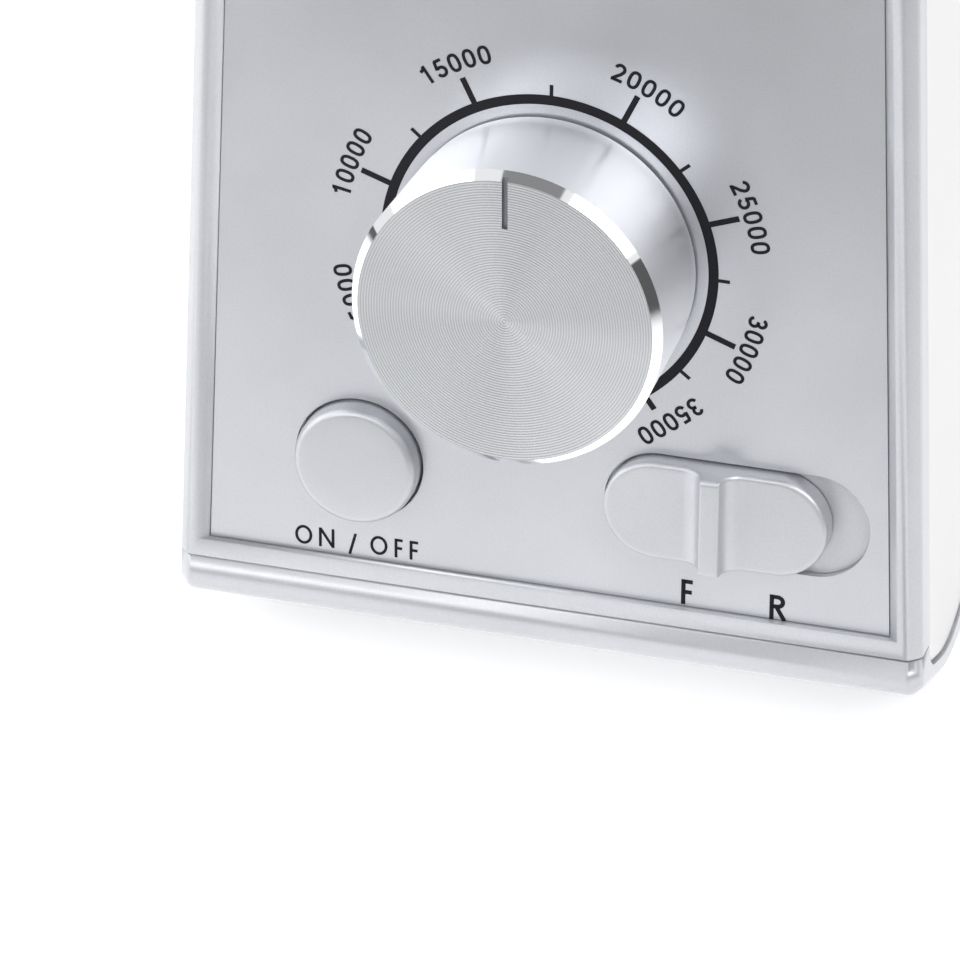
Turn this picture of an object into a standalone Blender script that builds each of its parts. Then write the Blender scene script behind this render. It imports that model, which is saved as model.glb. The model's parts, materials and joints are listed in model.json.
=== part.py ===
"""Control unit of an electric nail drill: a wedge-shaped housing with a leaning front panel.

Metres, +Z up. The panel faces -Y and the unit stands on its feet at z = 0, with the origin under
the middle of its box. Most shapes are drawn in one of three frames that hang from one root empty:
  unit   origin at the dial's centre, axes as the world's
  panel  origin at the dial's centre on the faceplate, +Y up the slope, +Z out of the panel
  rear   origin on the back wall at the height of the sockets, +X to the left as seen in front,
         +Y up the wall, +Z out of the wall
"""

import math

import bmesh
import bpy
from mathutils import Matrix, Vector

# General clearances and wall
GAP = 0.0003  # between pieces that touch
RUNNING_GAP = 0.0004  # between pieces that move past each other
OVERRUN = 0.004  # how far a cutter passes a face
BITE = 0.001  # how far a boss reaches into the wall that carries it
WALL = 0.0024

# Housing, side outline
LEAN = math.radians(18.0)
SEAM_DROP = 0.0607  # front shell's lower edge, down the slope from the dial
CHIN_STRIP = 0.0069  # lower shell's face, from the seam to the chin corner
BASE_BELOW_SEAM = 0.0148
DIAL_ABOVE_BASE = SEAM_DROP + BASE_BELOW_SEAM
PANEL_TOP = 0.084  # top corner, up the slope from the dial
CHIN_DROP = SEAM_DROP + CHIN_STRIP  # chin corner, down the slope from the dial
CHIN_SLOPE = math.radians(32.6)
BASE_DEPTH = 0.088  # chin corner to heel
BACK_LEAN = math.radians(4.0)
BACK_HEIGHT = 0.1525  # heel to the back's top corner
CHIN_RADIUS = 0.004
BASE_RADIUS = 0.025
HEEL_RADIUS = 0.008
BACK_TOP_RADIUS = 0.020
FRONT_TOP_RADIUS = 0.009
SMALLEST_RADIUS = 0.001
EDGE_SHARE = 0.98  # of an edge, for the arcs at its two ends
ARC_STEPS = 5

# Housing, front outline
HALF_WIDTH = 0.0586  # at the dial
SIDE_TAPER = math.radians(2.3)
SIDE_CHAMFER = 0.0020
CHAMFER_SHARES = ((0.0, 1.15), (0.12, 0.80), (0.80, 0.12), (1.15, 0.0))

# Front shell and faceplate
BEZEL_PROUD = 0.0012  # bezel above the faceplate
SIDE_STRIP = 0.0050  # bezel's width beside the recess
SEAM_STRIP = 0.0031
TOP_STRIP = 0.0095
RECESS_HALF = HALF_WIDTH - SIDE_STRIP
RECESS_DROP = SEAM_DROP - SEAM_STRIP
RECESS_RISE = PANEL_TOP - TOP_STRIP
LIP_SLOPE = 0.0014  # how far the recess widens from the faceplate to the bezel
PLATE_THICKNESS = 0.0010
FRONT_WALL = 0.0022  # behind the faceplate
RIM_DEPTH = 0.0052  # bezel's back edge behind the faceplate
SEAM_GAP = 0.0004
SEAM_REACH = 0.012  # how far behind the faceplate the seam's cut runs

# Side windows in the band, filled by the side panels
WINDOW_CHIN = 0.0039
WINDOW_RAIL = 0.0046
WINDOW_RADIUS = 0.005
PANEL_INSET = 0.0004
PANEL_EDGE = 0.0004
PANEL_LIP = 0.0010
PANEL_LIP_THICKNESS = 0.0014
SPLIT_HEIGHT = 0.0155  # lower shell's rear edge above the base
SPLIT_REACH = 0.040  # where the split's cut turns level, behind the dial

# Rear screws and the front shell's long posts
POST_RADIUS = 0.0035
POST_HOLE_DEPTH = 0.012
POST_LOW_INSET = 0.0086  # post's centre in from the housing's half width
POST_TOP_INSET = 0.0151
POST_LOW_RISE = 0.0235  # above the base
POST_TOP_DROP = 0.0150  # below the lower of the two top corners
REAR_BOSS_RADIUS = 0.0048
REAR_BOSS_LENGTH = 0.004
COUNTERBORE_RADIUS = 0.0032
COUNTERBORE_DEPTH = 0.0030
SCREW_RADIUS = 0.0014
SCREW_HOLE_RADIUS = 0.0017
SCREW_HEAD_RADIUS = 0.0027
SCREW_HEAD_HEIGHT = 0.0018
SCREW_SOCKET_RADIUS = 0.0012
SCREW_SOCKET_DEPTH = 0.0010
REAR_SCREW_LENGTH = 0.012

# Feet
FOOT_RADIUS = 0.0065
FOOT_STAND = 0.0025
FOOT_POCKET = 0.0010
FOOT_EDGE = 0.0008
FRONT_FOOT_INSET = 0.0146  # foot's centre in from the housing's half width
REAR_FOOT_INSET = 0.0106
FRONT_FOOT_Y = 0.0040
REAR_FOOT_FROM_HEEL = 0.0140

# Speed knob
KNOB_LOW = 0.0007
KNOB_SKIRT_RADIUS = 0.0236
KNOB_STEP_HEIGHT = 0.0034  # skirt's upper end, under a small step
KNOB_LOW_RADIUS = 0.0239
KNOB_CHAMFER_RADIUS = 0.0245
KNOB_CHAMFER_HEIGHT = 0.0224
KNOB_FACE_RADIUS = 0.0232
KNOB_HEIGHT = 0.0238
KNOB_FACE_THICKNESS = 0.0045
KNOB_WALL = 0.0022
KNOB_DISH = 0.0002  # the spun face sinks this far towards its middle
KNOB_FACE_SHARES = ((0.0, 1.0), (0.5, 0.7), (1.0, 0.0))  # of the face's radius and of its dish
POINTER_INNER = 0.0154
POINTER_WIDTH = 0.0009
POINTER_DEPTH = 0.0006
CORE_WALL = 0.0018
CORE_TOP = 0.0026
CORE_HUB_RADIUS = 0.0068
CORE_HUB_BOTTOM = 0.0064
CORE_SKIRT_BOTTOM = 0.0090
CORE_RIBS = 6
CORE_RIB_WIDTH = 0.0014

# Potentiometer
SHAFT_RADIUS = 0.0030
SHAFT_FLAT = 0.0010
SHAFT_CLEARANCE = 0.00008
SHAFT_TOP = 0.0158
BUSH_RADIUS = 0.0045
BUSH_TOP = 0.0050
BUSH_HOLE_CLEARANCE = 0.0004
BUSH_FLANGE_RADIUS = 0.0080
BUSH_FLANGE_THICKNESS = 0.0014
POT_RADIUS = 0.0085
POT_DEPTH = 0.0058
POT_WALL = 0.0012
POT_LUG_WIDTH = 0.0120
POT_LUG_DROP = 0.0125
WASHER_RADIUS = 0.0078
WASHER_THICKNESS = 0.0006
NUT_HALF_FLATS = 0.0060
NUT_THICKNESS = 0.0020

# Power button
BUTTON_FROM_SIDE = 0.0229
BUTTON_FROM_BOTTOM = 0.0178
BUTTON_U = BUTTON_FROM_SIDE - RECESS_HALF
BUTTON_V = BUTTON_FROM_BOTTOM - RECESS_DROP
BUTTON_RADIUS = 0.0101
BUTTON_HEIGHT = 0.0033
BUTTON_ROUND = 0.0012
BUTTON_TRAVEL = 0.0015
BUTTON_FLANGE = 0.0014
BUTTON_FLANGE_THICKNESS = 0.0014
BUTTON_CAP_WALL = 0.0022
BUTTON_STEM_RADIUS = 0.0028
PLUNGER_RADIUS = 0.0020
PLUNGER_LENGTH = 0.0032
SWITCH_SIDE = 0.0120
SWITCH_HEIGHT = 0.0042

# Direction slider
SLIDE_FROM_SIDE = 0.0228
SLIDE_FROM_BOTTOM = 0.0175
SLIDE_U = RECESS_HALF - SLIDE_FROM_SIDE
SLIDE_V = SLIDE_FROM_BOTTOM - RECESS_DROP
SLIDE_TRAVEL = 0.0058
SLIDE_HALF_LENGTH = 0.0213
SLIDE_RADIUS = 0.00875
LOBE_HEIGHT = 0.0027
RIDGE_HEIGHT = 0.0063
RIDGE_WIDTH = 0.0032
SCOOP_STEPS = 6
STEM_LENGTH = 0.0070
STEM_WIDTH = 0.0054
STEM_DEPTH = 0.0080
HOOK_REACH = 0.0010
HOOK_THICKNESS = 0.0012
LEVER_LENGTH = 0.0030
LEVER_WIDTH = 0.0024
LEVER_TOP = 0.0062
LEVER_BOTTOM = 0.0110
SLIDE_SWITCH_LENGTH = 0.0190
SLIDE_SWITCH_WIDTH = 0.0080

# Control board
BOARD_THICKNESS = 0.0016
CONTROL_BOARD_DEPTH = 0.0130  # its front face behind the faceplate
CONTROL_BOARD_INSET = 0.0081  # its ends in from the recess's sides
CONTROL_BOARD_LIFT = 0.0034  # its lower edge up from the recess's
CONTROL_BOARD_HALF = RECESS_HALF - CONTROL_BOARD_INSET
CONTROL_BOARD_DROP = RECESS_DROP - CONTROL_BOARD_LIFT
CONTROL_BOARD_RISE = 0.0160
CONTROL_BOSS_RADIUS = 0.0030
CONTROL_BOSS_EDGE = 0.0040  # screw centre in from the board's edges
CONTROL_SCREW_LENGTH = 0.0055

# Main board
MAIN_BOARD_INSET = 0.0061  # right edge in from the housing's half width
MAIN_BOARD_FRONT = 0.0020
MAIN_BOARD_FROM_HEEL = 0.0100
TAB_CLEARANCE = 0.0012  # between the transformer's tab and the board
MAIN_BOSS_HEIGHT = 0.0060
MAIN_BOSS_RADIUS = 0.0030
MAIN_BOSS_EDGE = 0.0042  # screw centre in from the board's edges
MAIN_SCREW_LENGTH = 0.0050
COMPONENT_PLACE_SHARE = 0.5333  # across the space from the transformer's tab to the post
CAPACITOR_RADIUS_SHARES = (0.3000, 0.2932)  # of the space across and of the space along the board
CAPACITOR_PLACE_SHARE = 0.5863  # along the space from the board's front edge to the transistor
SINK_LENGTH_SHARE = 0.7667
SINK_DEPTH_SHARE = 0.2037  # of the board's length
SINK_CLEARANCE = 0.0006  # between its fins and the rear screws
SINK_FIN_SHARE = 0.0522  # of the heat sink's length
CAPACITOR_HEIGHT = 0.0310
CAPACITOR_GROOVE = 0.0008
SINK_HEIGHT = 0.0270
SINK_BACK = 0.0030
SINK_FINS = 7
TRANSISTOR_WIDTH = 0.0100
TRANSISTOR_HEIGHT = 0.0150
TRANSISTOR_THICKNESS = 0.0045
TRANSISTOR_ABOVE_BOARD = 0.0040
LEG_THICKNESS = 0.0008
LEG_PITCH = 0.0025

# Transformer
CORE_SHARE = 0.4096  # of the housing's width at the dial
CORE_LENGTH = 2.0 * CORE_SHARE * HALF_WIDTH
CORE_RISE = 0.0400
CORE_LEG = 0.0080  # outer leg and yoke; the middle leg is twice as wide
CORE_WINDOW = 0.0080
STRAP_CLEARANCE = 0.0032  # between the lower left post and the strap
WINDING_FRONT = 0.0080
WINDING_FROM_HEEL = 0.0150
WINDING_BULGE = 0.0090
WINDING_ROUND = 0.0030
BRACKET_THICKNESS = 0.0010
BRACKET_TAB = 0.0080
BRACKET_DEPTH = 0.0120
BRACKET_BOSS_HEIGHT = 0.0030
BRACKET_BOSS_RADIUS = 0.0034
BRACKET_SCREW_LENGTH = 0.0045

# Sockets and switches on the back wall
SOCKET_ROW_HEIGHT = 0.0555  # above the base
INLET_X = 0.0320
INLET_FLANGE_HALF = 0.0140
INLET_FLANGE_HEIGHT = 0.0160
INLET_FLANGE_THICKNESS = 0.0016
INLET_BODY_HALF = 0.0108
INLET_BODY_HEIGHT = 0.0112
INLET_BODY_DEPTH = 0.0170
INLET_CAVITY_HALF = 0.0092
INLET_CAVITY_HEIGHT = 0.0080
INLET_CAVITY_DEPTH = 0.0120
PIN_RADIUS = 0.0012
PIN_SPREAD = 0.0043
PIN_SHORT = 0.0030  # pin's tip behind the flange's face
FUSE_X = 0.0070
FUSE_BODY_RADIUS = 0.0060
FUSE_FLANGE_RADIUS = 0.0078
FUSE_FLANGE_THICKNESS = 0.0018
FUSE_BODY_DEPTH = 0.0180
FUSE_BORE_RADIUS = 0.0033
FUSE_STEM_RADIUS = 0.0032
FUSE_STEM_LENGTH = 0.0110
FUSE_CAP_RADIUS = 0.0064
FUSE_CAP_HEIGHT = 0.0050
FUSE_CAP_EDGE = 0.0008
FUSE_SLOT_WIDTH = 0.0012
FUSE_SLOT_DEPTH = 0.0012
PEDAL_X = -0.0130
HANDPIECE_X = -0.0350
JACK_BORE_RADIUS = 0.0037
JACK_BUSH_RADIUS = 0.0052
JACK_BUSH_TOP = 0.0036
JACK_BODY_WIDTH = 0.0140
JACK_BODY_HEIGHT = 0.0120
JACK_BODY_DEPTH = 0.0180
JACK_END_WALL = 0.0020
JACK_NUT_HALF_FLATS = 0.0070
JACK_NUT_THICKNESS = 0.0022
MODE_X = -0.0130
MODE_Y = 0.0230
MODE_FLANGE_WIDTH = 0.0150
MODE_FLANGE_HEIGHT = 0.0210
MODE_FLANGE_THICKNESS = 0.0018
MODE_BODY_WIDTH = 0.0130
MODE_BODY_HEIGHT = 0.0190
MODE_BODY_DEPTH = 0.0120
MODE_WELL_WIDTH = 0.0096
MODE_WELL_HEIGHT = 0.0160
MODE_WELL_DEPTH = 0.0080
ROCKER_WIDTH = 0.0088
ROCKER_HALF = 0.0070
ROCKER_EDGE = 0.0018  # paddle's end above its pivot
ROCKER_ROOT = 0.0034  # paddle's lowest point below its pivot
ROCKER_VALLEY = 0.0008
ROCKER_SHARES = ((0.92, 0.35), (0.35, 1.0))  # of the half length and of the root, down one end
ROCKER_TILT = math.radians(8.0)
ROCKER_PIVOT_DEPTH = 0.0006  # below the flange's face
ROCKER_PIN_RADIUS = 0.0010

# Vents
VENT_WIDTH = 0.0022
VENT_LENGTH = 0.0520
VENT_PITCH = 0.0050
REAR_VENTS = 7
REAR_VENT_Y = 0.0420  # lowest slot above the sockets' row
BASE_VENTS = 6
BASE_VENT_LENGTH = 0.0300
BASE_VENT_Y = 0.0150
BASE_VENT_X = 0.0330

# Signal cable between the boards
CABLE_SHARES = (0.30, 0.95)  # its sides, between a main board screw and a control board screw
CABLE_THICKNESS = 0.0012
CABLE_BEND = 0.0042
CABLE_STEPS = 6

# Facets
SHARP_ANGLE = math.radians(30.0)
WELD_DISTANCE = 0.0000003
KNOB_FACETS = 64
ROUND_FACETS = 24
SMALL_FACETS = 12

# Colour, roughness and metallic value of each material
MATERIALS = {
    "silver_paint": ((0.72, 0.73, 0.75), 0.38, 0.35),
    "silver_grain": ((0.62, 0.63, 0.66), 0.45, 0.55),
    "white_plastic": ((0.86, 0.86, 0.88), 0.35, 0.0),
    "spun_aluminium": ((0.80, 0.81, 0.83), 0.25, 1.0),
    "black_plastic": ((0.03, 0.03, 0.03), 0.45, 0.0),
    "black_rubber": ((0.02, 0.02, 0.02), 0.80, 0.0),
    "plated_steel": ((0.65, 0.65, 0.66), 0.30, 1.0),
    "brass": ((0.75, 0.60, 0.30), 0.30, 1.0),
    "circuit_board": ((0.03, 0.22, 0.10), 0.40, 0.0),
    "copper_wire": ((0.65, 0.30, 0.12), 0.40, 0.6),
    "laminated_steel": ((0.25, 0.25, 0.27), 0.55, 0.7),
    "blue_sleeve": ((0.05, 0.08, 0.20), 0.35, 0.0),
    "grey_cable": ((0.45, 0.45, 0.47), 0.55, 0.0),
}


def clear_scene():
    for obj in list(bpy.data.objects):
        bpy.data.objects.remove(obj, do_unlink=True)


def make_material(name):
    colour, roughness, metallic = MATERIALS[name]
    material = bpy.data.materials.get(name) or bpy.data.materials.new(name)
    material.use_nodes = True
    shader = material.node_tree.nodes["Principled BSDF"]
    shader.inputs["Base Color"].default_value = (*colour, 1.0)
    shader.inputs["Roughness"].default_value = roughness
    shader.inputs["Metallic"].default_value = metallic
    return material


def make_frame(name, parent, location=(0.0, 0.0, 0.0), rotation=(0.0, 0.0, 0.0)):
    frame = bpy.data.objects.new(name, None)
    bpy.context.collection.objects.link(frame)
    frame.parent = parent
    frame.location = location
    frame.rotation_euler = rotation
    return frame


def to_object(name, bm, parent, location):
    bmesh.ops.recalc_face_normals(bm, faces=bm.faces)
    mesh = bpy.data.meshes.new(name)
    bm.to_mesh(mesh)
    bm.free()
    obj = bpy.data.objects.new(name, mesh)
    bpy.context.collection.objects.link(obj)
    obj.parent = parent
    obj.location = location
    return obj


def piece(name, bm, material, parent, location=(0.0, 0.0, 0.0)):
    """A sub-part of the unit."""
    obj = to_object(name, bm, parent, location)
    obj.data.materials.append(make_material(material))
    obj.data.shade_smooth()
    obj.data.set_sharp_from_angle(angle=SHARP_ANGLE)
    return obj


def helper(name, bm, parent, location=(0.0, 0.0, 0.0)):
    """A shape that only cuts a piece or joins it."""
    obj = to_object(name, bm, parent, location)
    obj.hide_render = True
    obj.display_type = "WIRE"
    return obj


def combine(obj, other, operation):
    modifier = obj.modifiers.new(f"{operation.lower()} {other.name}", "BOOLEAN")
    modifier.operation = operation
    modifier.solver = "EXACT"
    modifier.object = other


def cut(obj, *cutters):
    for cutter in cutters:
        combine(obj, cutter, "DIFFERENCE")


def join(obj, *others):
    for other in others:
        combine(obj, other, "UNION")


def keep(obj, region):
    combine(obj, region, "INTERSECT")


def add_loft(bm, rings):
    """One closed body through rings that have as many points each."""
    count = len(rings[0])
    loops = [[bm.verts.new(point) for point in ring] for ring in rings]
    for low, high in zip(loops, loops[1:]):
        for i in range(count):
            j = (i + 1) % count
            bm.faces.new((low[i], low[j], high[j], high[i]))
    bm.faces.new(loops[0])
    bm.faces.new(loops[-1])
    return bm


def add_prism(bm, outline, low, high):
    """An outline in x and y, extruded from z = low to z = high."""
    return add_loft(bm, [[(x, y, z) for x, y in outline] for z in (low, high)])


def add_box(bm, low, high):
    outline = ((low[0], low[1]), (high[0], low[1]), (high[0], high[1]), (low[0], high[1]))
    return add_prism(bm, outline, low[2], high[2])


def circle(radius, facets, centre=(0.0, 0.0)):
    turns = [2.0 * math.pi * k / facets for k in range(facets)]
    return [(centre[0] + radius * math.cos(t), centre[1] + radius * math.sin(t)) for t in turns]


def hexagon(half_flats):
    return circle(half_flats / math.cos(math.pi / 6.0), 6)


def stadium(half_length, radius, facets, centre=(0.0, 0.0)):
    """A slot's outline along x, with round ends."""
    points = []
    for side in (1.0, -1.0):
        middle = centre[0] + side * (half_length - radius)
        for k in range(facets // 2 + 1):
            turn = side * (-math.pi / 2.0 + 2.0 * math.pi * k / facets)
            points.append((middle + side * radius * math.cos(turn), centre[1] + radius * math.sin(turn)))
    return points


def cylinder(radius, low, high, facets=SMALL_FACETS, centre=(0.0, 0.0)):
    return add_prism(bmesh.new(), circle(radius, facets, centre), low, high)


def add_screw_hole(bm, centre, low, high):
    return add_prism(bm, circle(SCREW_HOLE_RADIUS, SMALL_FACETS, centre), low, high)


def box(low, high):
    return add_box(bmesh.new(), low, high)


def turned(profile, facets=ROUND_FACETS):
    """A closed profile of (radius, height) points, spun about z."""
    bm = bmesh.new()
    verts = [bm.verts.new((radius, 0.0, height)) for radius, height in profile]
    edges = [bm.edges.new((a, b)) for a, b in zip(verts, verts[1:])]
    if profile[0][0] or profile[-1][0]:
        edges.append(bm.edges.new((verts[-1], verts[0])))
    bmesh.ops.spin(
        bm,
        geom=verts + edges,
        axis=(0.0, 0.0, 1.0),
        cent=(0.0, 0.0, 0.0),
        angle=2.0 * math.pi,
        steps=facets,
        use_merge=True,
    )
    bmesh.ops.remove_doubles(bm, verts=bm.verts, dist=WELD_DISTANCE)
    return bm


def turned_over(bm, angle, axis):
    bmesh.ops.rotate(bm, verts=bm.verts, cent=(0.0, 0.0, 0.0), matrix=Matrix.Rotation(angle, 3, axis))
    return bm


def from_back_to_front(bm):
    """Turns a shape drawn upright so that it lies along +Y, its base at the front."""
    return turned_over(bm, -math.pi / 2.0, "X")


def from_side_to_side(bm):
    """Turns a shape drawn upright so that it lies along X."""
    return turned_over(bm, math.pi / 2.0, "Y")


def panel_point(v, w):
    """A point of the panel's frame, up the slope and out of it, as y and z of the unit's frame."""
    return Vector((v * math.sin(LEAN) - w * math.cos(LEAN), v * math.cos(LEAN) + w * math.sin(LEAN)))


def side_corners():
    """Corners of the housing's side outline, from the chin round the base, and their radii."""
    base = -DIAL_ABOVE_BASE
    chin = panel_point(-CHIN_DROP, BEZEL_PROUD)
    front_base = Vector((chin.x + (chin.y - base) / math.tan(CHIN_SLOPE), base))
    heel = Vector((chin.x + BASE_DEPTH, base))
    back_top = heel + Vector((-BACK_HEIGHT * math.tan(BACK_LEAN), BACK_HEIGHT))
    front_top = panel_point(PANEL_TOP, BEZEL_PROUD)
    return [
        (chin, CHIN_RADIUS),
        (front_base, BASE_RADIUS),
        (heel, HEEL_RADIUS),
        (back_top, BACK_TOP_RADIUS),
        (front_top, FRONT_TOP_RADIUS),
    ]


def cross_point(start_a, along_a, start_b, along_b):
    step = (start_b - start_a).cross(along_b) / along_a.cross(along_b)
    return start_a + step * along_a


def offset_corners(corners, distances):
    """The corners moved inwards, by one distance for each edge that starts at a corner."""
    count = len(corners)
    lines = []
    for k in range(count):
        start = corners[k][0]
        along = (corners[(k + 1) % count][0] - start).normalized()
        lines.append((start + distances[k] * Vector((-along.y, along.x)), along))
    moved = []
    for k in range(count):
        point = cross_point(*lines[k - 1], *lines[k])
        radius = corners[k][1] - max(distances[k - 1], distances[k])
        moved.append((point, max(radius, SMALLEST_RADIUS)))
    return moved


def limited(corners):
    """The corners, with arcs that fit on the edges between them."""
    count = len(corners)
    places = [corner for corner, _ in corners]
    reaches = []
    for k, (corner, radius) in enumerate(corners):
        half_angle = (places[k - 1] - corner).angle(places[(k + 1) % count] - corner) / 2.0
        reaches.append(radius / math.tan(half_angle))
    fits = []
    for k in range(count):
        after = (k + 1) % count
        room = EDGE_SHARE * (places[after] - places[k]).length
        fits.append(min(1.0, room / (reaches[k] + reaches[after])))
    return [(corner, radius * min(fits[k - 1], fits[k])) for k, (corner, radius) in enumerate(corners)]


def rounded(corners):
    """The outline's points, with an arc at each corner."""
    points = []
    for k, (corner, radius) in enumerate(limited(corners)):
        to_last = (corners[k - 1][0] - corner).normalized()
        to_next = (corners[(k + 1) % len(corners)][0] - corner).normalized()
        half_angle = to_last.angle(to_next) / 2.0
        middle = corner + (to_last + to_next).normalized() * radius / math.sin(half_angle)
        start = corner + to_last * radius / math.tan(half_angle) - middle
        swing = math.pi - 2.0 * half_angle
        for step in range(ARC_STEPS + 1):
            turn = swing * step / ARC_STEPS
            arm = Vector((
                start.x * math.cos(turn) - start.y * math.sin(turn),
                start.x * math.sin(turn) + start.y * math.cos(turn),
            ))
            points.append(middle + arm)
    return points


def half_width_at(point):
    """Half the housing's width at a point of its side outline."""
    up_slope = point.x * math.sin(LEAN) + point.y * math.cos(LEAN)
    return HALF_WIDTH - up_slope * math.tan(SIDE_TAPER)


def side_ring(outline, inset, side):
    return [(side * (half_width_at(point) - inset), point.x, point.y) for point in outline]


def across(outline, inset):
    """A solid from side to side, a given distance in from the housing's sides."""
    return add_loft(bmesh.new(), [side_ring(outline, inset, side) for side in (-1.0, 1.0)])


def cavity_corners(extra=0.0):
    front = BEZEL_PROUD + PLATE_THICKNESS + GAP + FRONT_WALL
    return offset_corners(side_corners(), [WALL + extra] * 4 + [front + extra])


def window_corners(shrink):
    distances = [WINDOW_CHIN, WINDOW_RAIL, WINDOW_RAIL, WINDOW_RAIL, BEZEL_PROUD + RIM_DEPTH]
    moved = offset_corners(side_corners(), [distance + shrink for distance in distances])
    return [(point, max(radius, WINDOW_RADIUS - shrink)) for point, radius in moved]


def housing_blank(name, material, unit):
    """The whole hollow band with open sides, from which each shell keeps its part."""
    corners = side_corners()
    rings = []
    for inset_share, offset_share in CHAMFER_SHARES:
        outline = rounded(offset_corners(corners, [offset_share * SIDE_CHAMFER] * len(corners)))
        rings.append(side_ring(outline, inset_share * SIDE_CHAMFER, -1.0))
    rings += [[(-x, y, z) for x, y, z in ring] for ring in reversed(rings)]
    blank = piece(name, add_loft(bmesh.new(), rings), material, unit)
    cavity = helper(f"{name}_cavity", across(rounded(cavity_corners()), WALL), unit)
    window = helper(f"{name}_window", across(rounded(window_corners(0.0)), -OVERRUN), unit)
    cut(blank, cavity, window)
    return blank


def region(name, points, unit):
    """A slab from side to side that keeps the part of the band inside a side outline."""
    half = HALF_WIDTH + DIAL_ABOVE_BASE
    rings = [[(x, point.x, point.y) for point in points] for x in (-half, half)]
    return helper(name, add_loft(bmesh.new(), rings), unit)


def panel_outline(half, drop, rise):
    """The tapered panel's corners: half its width at the dial, its bottom and its top."""
    taper = math.tan(SIDE_TAPER)
    low = half + drop * taper
    high = half - rise * taper
    return ((-low, -drop), (low, -drop), (high, rise), (-high, rise))


def recess_cutter(panel):
    """The faceplate's seat, with sides that slope out to the bezel."""
    floor = -(PLATE_THICKNESS + GAP)
    top = BEZEL_PROUD + OVERRUN
    spread = LIP_SLOPE * top / BEZEL_PROUD
    low = panel_outline(RECESS_HALF, RECESS_DROP, RECESS_RISE)
    high = panel_outline(RECESS_HALF + spread, RECESS_DROP + GAP, RECESS_RISE + spread)
    rings = [[(x, y, z) for x, y in ring] for ring, z in ((low, floor), (low, 0.0), (high, top))]
    return helper("recess_cutter", add_loft(bmesh.new(), rings), panel)


def panel_hole_cutters(prefix, panel, low, high):
    """Holes for the potentiometer's bush and the button, through a wall between two heights."""
    bush = circle(BUSH_RADIUS + BUSH_HOLE_CLEARANCE, ROUND_FACETS)
    button = circle(BUTTON_RADIUS + RUNNING_GAP, ROUND_FACETS, (BUTTON_U, BUTTON_V))
    holes = bmesh.new()
    for outline in (bush, button):
        add_prism(holes, outline, low, high)
    return helper(f"{prefix}_holes", holes, panel)


def screw(name, length, parent, location):
    """A pan-head screw along +Z, its head's underside at the origin and its shank below."""
    profile = (
        (0.0, -length),
        (SCREW_RADIUS, -length),
        (SCREW_RADIUS, 0.0),
        (SCREW_HEAD_RADIUS, 0.0),
        (SCREW_HEAD_RADIUS, SCREW_HEAD_HEIGHT),
        (SCREW_SOCKET_RADIUS, SCREW_HEAD_HEIGHT),
        (SCREW_SOCKET_RADIUS, SCREW_HEAD_HEIGHT - SCREW_SOCKET_DEPTH),
        (0.0, SCREW_HEAD_HEIGHT - SCREW_SOCKET_DEPTH),
    )
    return piece(name, turned(profile, SMALL_FACETS), "plated_steel", parent, location)


def post_places():
    """Where the rear screws lie, as x and z in the unit's frame."""
    corners = side_corners()
    top = min(corners[3][0].y, corners[4][0].y)
    low_pair = (HALF_WIDTH - POST_LOW_INSET, POST_LOW_RISE - DIAL_ABOVE_BASE)
    top_pair = (HALF_WIDTH - POST_TOP_INSET, top - POST_TOP_DROP)
    return [(side * x, z) for x, z in (low_pair, top_pair) for side in (-1.0, 1.0)]


def heel_y():
    return side_corners()[2][0].x


def back_inner_y(z):
    """The back wall's inner face at a height, in the unit's frame."""
    heel = side_corners()[2][0]
    return heel.x - (z - heel.y) * math.tan(BACK_LEAN) - WALL / math.cos(BACK_LEAN)


def post_end(z):
    return back_inner_y(z) - REAR_BOSS_LENGTH - GAP


def make_front_shell(unit, panel):
    shell = housing_blank("front_shell", "silver_paint", unit)
    far = PANEL_TOP * 2.0
    keep(shell, region("front_region", [
        panel_point(-SEAM_DROP, -RIM_DEPTH),
        panel_point(-SEAM_DROP, far),
        panel_point(far, far),
        panel_point(far, -RIM_DEPTH),
    ], unit))
    wall_middle = -(PLATE_THICKNESS + GAP + FRONT_WALL / 2.0)
    posts = bmesh.new()
    bores = bmesh.new()
    for x, z in post_places():
        v = (z - wall_middle * math.sin(LEAN)) / math.cos(LEAN)
        start = panel_point(v, wall_middle).x
        add_prism(posts, circle(POST_RADIUS, SMALL_FACETS, (x, -z)), start, post_end(z))
        add_screw_hole(bores, (x, -z), post_end(z) - POST_HOLE_DEPTH, post_end(z) + OVERRUN)
    join(shell, helper("posts", from_back_to_front(posts), unit))
    bosses = bmesh.new()
    pilot_holes = bmesh.new()
    for u, v in control_boss_places():
        low = -(CONTROL_BOARD_DEPTH - GAP)
        add_prism(bosses, circle(CONTROL_BOSS_RADIUS, SMALL_FACETS, (u, v)), low, wall_middle)
        add_screw_hole(pilot_holes, (u, v), low - OVERRUN, low + CONTROL_SCREW_LENGTH)
    join(shell, helper("control_bosses", bosses, panel))
    cut(shell, helper("post_bores", from_back_to_front(bores), unit))
    cut(shell, helper("control_pilot_holes", pilot_holes, panel))
    cut(shell, recess_cutter(panel))
    cut(shell, panel_hole_cutters("shell", panel, -CONTROL_BOARD_DEPTH / 2.0, OVERRUN))
    slot = box(
        (SLIDE_U - stem_slot_half(), SLIDE_V - STEM_WIDTH / 2.0 - RUNNING_GAP, -CONTROL_BOARD_DEPTH / 2.0),
        (SLIDE_U + stem_slot_half(), SLIDE_V + STEM_WIDTH / 2.0 + RUNNING_GAP, OVERRUN),
    )
    cut(shell, helper("stem_slot", slot, panel))
    return shell


def stem_slot_half():
    return (STEM_LENGTH + SLIDE_TRAVEL) / 2.0 + RUNNING_GAP


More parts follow.
